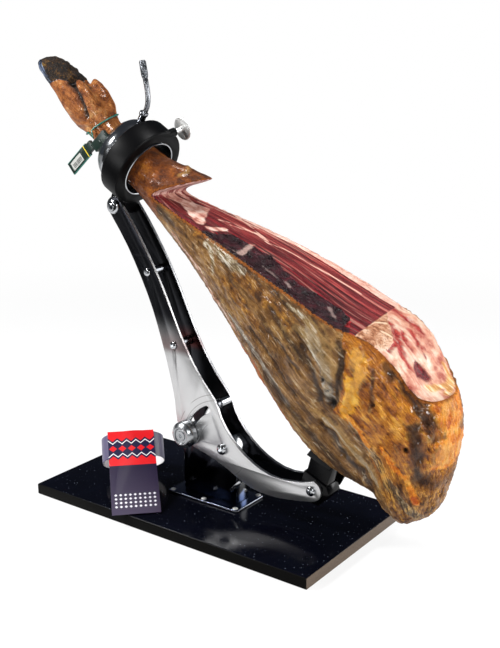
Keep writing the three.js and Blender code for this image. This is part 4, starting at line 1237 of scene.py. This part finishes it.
# %% Tag
TAG_AT = Vector((-184, -33, 432)) * MM
TAG_LEAN = math.radians(-41)


def block(middle, size, edge):
    """A box with broken edges, turned like the tag."""
    bm = bmesh.new()
    place = Matrix.Translation(Vector(middle) * MM) @ Matrix.Rotation(TAG_LEAN, 4, "Y")
    bmesh.ops.create_cube(bm, size=MM, matrix=place @ Matrix.Diagonal((*size, 1)))
    break_edges(bm, edge)
    return bm


def tag_plastic():
    f = Finish("tag_plastic")
    x, _, z = f.parts(f.mapped(move=tuple(-TAG_AT)))
    along = (x * math.cos(TAG_LEAN) - z * math.sin(TAG_LEAN)) / MM
    across = (x * math.sin(TAG_LEAN) + z * math.cos(TAG_LEAN)) / MM
    panel = f.ease(along, -16.6, -16.2) * (1 - f.ease(along, 6.2, 6.6))
    panel = panel * (1 - f.ease(abs(across), 5.2, 5.6))
    bars = f.ease(f.noise(1.0, 0, 0.5, f.node("ShaderNodeCombineXYZ", {}, {"X": along * 0.9})), 0.48, 0.5)
    bars = bars * f.ease(along, -14.4, -14) * (1 - f.ease(along, 4, 4.4))
    bars = bars * (1 - f.ease(abs(across + 1), 2.6, 2.9))
    strip = f.ease(along, 15.2, 15.5) * (1 - f.ease(along, 16.6, 16.9))
    green = f.mix(f.noise(200), paint("#04160f"), paint("#08221a"))
    green = f.mix(f.ease(abs(across), 7.4, 8.2) * (1 - f.ease(along, 20, 21)), green, paint("#0c6a5c"))
    colour = f.mix(panel, green, f.mix(bars, paint("#a3a49f"), paint("#20201f")))
    colour = f.mix(strip, colour, paint("#c8b030"))
    return f.surface(Base_Color=colour, Roughness=0.32 + 0.1 * f.noise(90),
                     Normal=f.bump(f.noise(400), 0.00003))


lock_block = [block((-147, -33, 456.5), (27, 6.5, 13), 0.8), block((-146, -36.6, 456), (5, 1.2, 5), 0.4)]
piece("tag", [cast("tag", 0.5, 3), *lock_block], tag_plastic())

# %% [markdown]
# The paper collar is printed card: a band that stands on the board, and a tongue that slopes to the
# front. The frame's sheets keep their thickness. The print is plain fields of colour: dark purple all
# over, and a red field on the top of the tongue that a dark zigzag band crosses. Rows of small diamonds
# stand lower down. The inner side is white. Which side a point is on is marked on the mesh.

# %% Paper collar
LABEL_TURN = math.radians(45.2)
LABEL_FRAME = Matrix.Translation(Vector((-41.9, -103.5, 15.3)) * MM) @ Matrix.Rotation(LABEL_TURN, 4, "Z")
TONGUE_LEAN = math.radians(62.3)
DIAMOND_STEP = 3
DIAMONDS_AT = 21
ZIGZAG_STEP = 6
ZIGZAG_AT = 105
BAND_MIDDLE = Vector((0, 112))


def printed_card():
    """Card with its print laid out in millimetres: x across the tongue, and up along it."""
    f = Finish("printed_card")
    turned = f.mapped(f.mapped(move=tuple(-LABEL_FRAME.translation)), turn=(0, 0, -LABEL_TURN))
    x, y, z = f.parts(turned)
    x, y, z = x / MM, y / MM, z / MM
    up = y * math.sin(TONGUE_LEAN) + z * math.cos(TONGUE_LEAN)
    front = f.attribute("front")
    card = f.mix(f.ease(up, 0, 75), paint("#241436"), paint("#1c1030"))
    from_diamond = x.swing(DIAMOND_STEP) + up.swing(DIAMOND_STEP)
    field = (1 - f.ease(abs(x), 26.9, 27.1)) * (1 - f.ease(abs(up - DIAMONDS_AT), 11.9, 12.1))
    card = f.mix(field * (1 - f.ease(from_diamond, 1.8, 2.0)) * 0.9, card, paint("#e8e6ea"))
    red = f.mix(f.noise(60), paint("#d40f18"), paint("#e01820"))
    from_middle = abs(up - ZIGZAG_AT)
    from_zigzag = from_middle - x.swing(ZIGZAG_STEP)
    zigzag = f.mix(f.ease(from_middle + x.swing(ZIGZAG_STEP), 5.0, 5.3), red, paint("#15143a"))
    zigzag = f.mix(f.ease(abs(from_zigzag - 8), 0.6, 0.9), paint("#f4f2f2"), zigzag)
    red = f.mix(f.ease(from_zigzag, 12, 12.3), zigzag, red)
    card = f.mix(front * f.ease(up, 76.8, 77.1), card, red)
    band = f.mix(f.ease(z, 0, 30), paint("#3a2a4a"), paint("#55506a"))
    card = f.mix((1 - front) * f.ease(y, 88, 96), card, band)
    colour = f.mix(f.attribute("inside"), card, paint("#f2f0f2"))
    return f.surface(Base_Color=colour, Roughness=0.42, Coat_Weight=0.12,
                     Normal=f.bump(f.noise(300), 0.00003))


def collar():
    """The frame's card, with its white inner side and the tongue's printed front marked on the mesh."""
    bm = cast("collar_label", 0.15, 1)
    bm.normal_update()
    front, inside = (bm.verts.layers.float.new(name) for name in ("front", "inside"))
    for vert in bm.verts:
        spot = (LABEL_FRAME.inverted() @ vert.co) / MM
        turned = LABEL_FRAME.to_3x3().inverted() @ vert.normal
        on_tongue = abs(spot.y * math.cos(TONGUE_LEAN) - spot.z * math.sin(TONGUE_LEAN)) < 4
        vert[front] = float(on_tongue)
        vert[inside] = float(not on_tongue and turned.xy.dot(spot.xy - BAND_MIDDLE) < 0)
    return bm


piece("collar_label", [collar()], printed_card(), smooth=30)

# %% [markdown]
# The studio is a pale floor in a white room. Polished steel shows what stands around it, so a dark card
# at the left gives the arm its black upper half. The card is seen only in reflections: it hides nothing
# and casts no shadow.

# %% Floor and dark card
REACH = 30.0
FLOOR_SHINE = 0.7
CARD_MIDDLE = Vector((-0.324, -0.381, 0.08))
CARD_ALONG = Vector((0.81, -0.587, 0))
CARD_TALL = Vector((0, 0, 0.52))


def stage_sheet(name, corners, material):
    mesh = bpy.data.meshes.new(name)
    mesh.from_pydata(corners, [], [tuple(range(len(corners)))])
    mesh.materials.append(material)
    sheet = bpy.data.objects.new(name, mesh)
    scene.collection.objects.link(sheet)
    return sheet


def dark_paper():
    f = Finish("dark_paper")
    return f.surface(Base_Color=paint("#050506"), Roughness=0.9)


def pale_floor():
    """White paper. Far from the stand it glows a little, so that it meets the white room without an edge."""
    f = Finish("pale_floor")
    x, y, _ = f.parts()
    far = f.ease((x * x + y * y).root(), 0.5, 1.6)
    paper = f.node("ShaderNodeBsdfDiffuse", {}, {"Color": (0.85, 0.85, 0.85, 1)})
    glow = f.node("ShaderNodeEmission", {}, {"Color": (1, 1, 1, 1), "Strength": 1.0})
    dim = f.node("ShaderNodeEmission", {}, {"Color": (1, 1, 1, 1), "Strength": FLOOR_SHINE})
    seen = f.node("ShaderNodeMixShader", {}, {0: 0.8 + 0.2 * far, 1: paper, 2: glow})
    mirrored = f.node("ShaderNodeMixShader", {}, {0: 0.5, 1: paper, 2: dim})
    camera_ray = f.node("ShaderNodeLightPath", out="Is Camera Ray")
    both = f.node("ShaderNodeMixShader", {}, {0: camera_ray, 1: mirrored, 2: seen})
    f.node("ShaderNodeOutputMaterial", {}, {"Surface": both}, out=None)
    return f.material


floor_corners = [(-REACH, -REACH, 0), (REACH, -REACH, 0), (REACH, REACH, 0), (-REACH, REACH, 0)]
stage_sheet("floor", floor_corners, pale_floor())
left, right = CARD_MIDDLE - 0.28 * CARD_ALONG, CARD_MIDDLE + 0.5 * CARD_ALONG
card = stage_sheet("dark_card", [left, right, right + CARD_TALL, left + CARD_TALL], dark_paper())
card.visible_camera = card.visible_diffuse = card.visible_shadow = False
print("the floor and one card stand round the part")

# %% [markdown]
# Six soft boxes light it. The key light stands at the front left, with a small one beside it for the
# glints. One from behind and one from the right draw the bright edges of the plates.

# %% Lights
ROOM_GLOW = 0.06
LIGHTS = {
    "key": ((-0.95, -0.75, 1.25), (0.1, 0, 0.25), (0.3, 0.3), 30),
    "glint": ((-0.6, -1.05, 0.6), (0.1, 0, 0.3), (0.14, 0.14), 7),
    "top": ((0.3, 0.1, 1.7), (0.1, 0, 0.2), (0.35, 0.35), 16),
    "front": ((0.9, -1.3, 0.75), (0.15, 0, 0.2), (0.5, 0.5), 7),
    "back": ((0.85, 1.15, 0.5), (0, 0, 0.25), (0.5, 0.9), 9),
    "right": ((1.35, 0.1, 0.55), (0.2, 0, 0.2), (0.2, 0.6), 14),
}


def soft_box(name, stands_at, aim, size, watts):
    light = bpy.data.lights.new(name, "AREA")
    light.shape = "RECTANGLE"
    light.size, light.size_y = size
    light.energy = watts
    lamp = bpy.data.objects.new(name, light)
    lamp.location = stands_at
    lamp.rotation_euler = (Vector(aim) - Vector(stands_at)).to_track_quat("-Z", "Y").to_euler()
    scene.collection.objects.link(lamp)


def studio_room():
    """White to the camera, and a dim cool room to everything else."""
    world = bpy.data.worlds.new("studio")
    world.use_nodes = True
    tree = world.node_tree
    tree.nodes.clear()
    ray = tree.nodes.new("ShaderNodeLightPath")
    both = tree.nodes.new("ShaderNodeMixShader")
    end = tree.nodes.new("ShaderNodeOutputWorld")
    tree.links.new(ray.outputs["Is Camera Ray"], both.inputs[0])
    for socket, colour, strength in ((1, (0.75, 0.84, 1, 1), ROOM_GLOW), (2, (1, 1, 1, 1), 1.0)):
        part = tree.nodes.new("ShaderNodeBackground")
        part.inputs["Color"].default_value = colour
        part.inputs["Strength"].default_value = strength
        tree.links.new(part.outputs[0], both.inputs[socket])
    tree.links.new(both.outputs[0], end.inputs[0])
    return world


for name, how in LIGHTS.items():
    soft_box(name, *how)
scene.world = studio_room()
scene.view_settings.view_transform = "Standard"
print("lights:", ", ".join(LIGHTS))
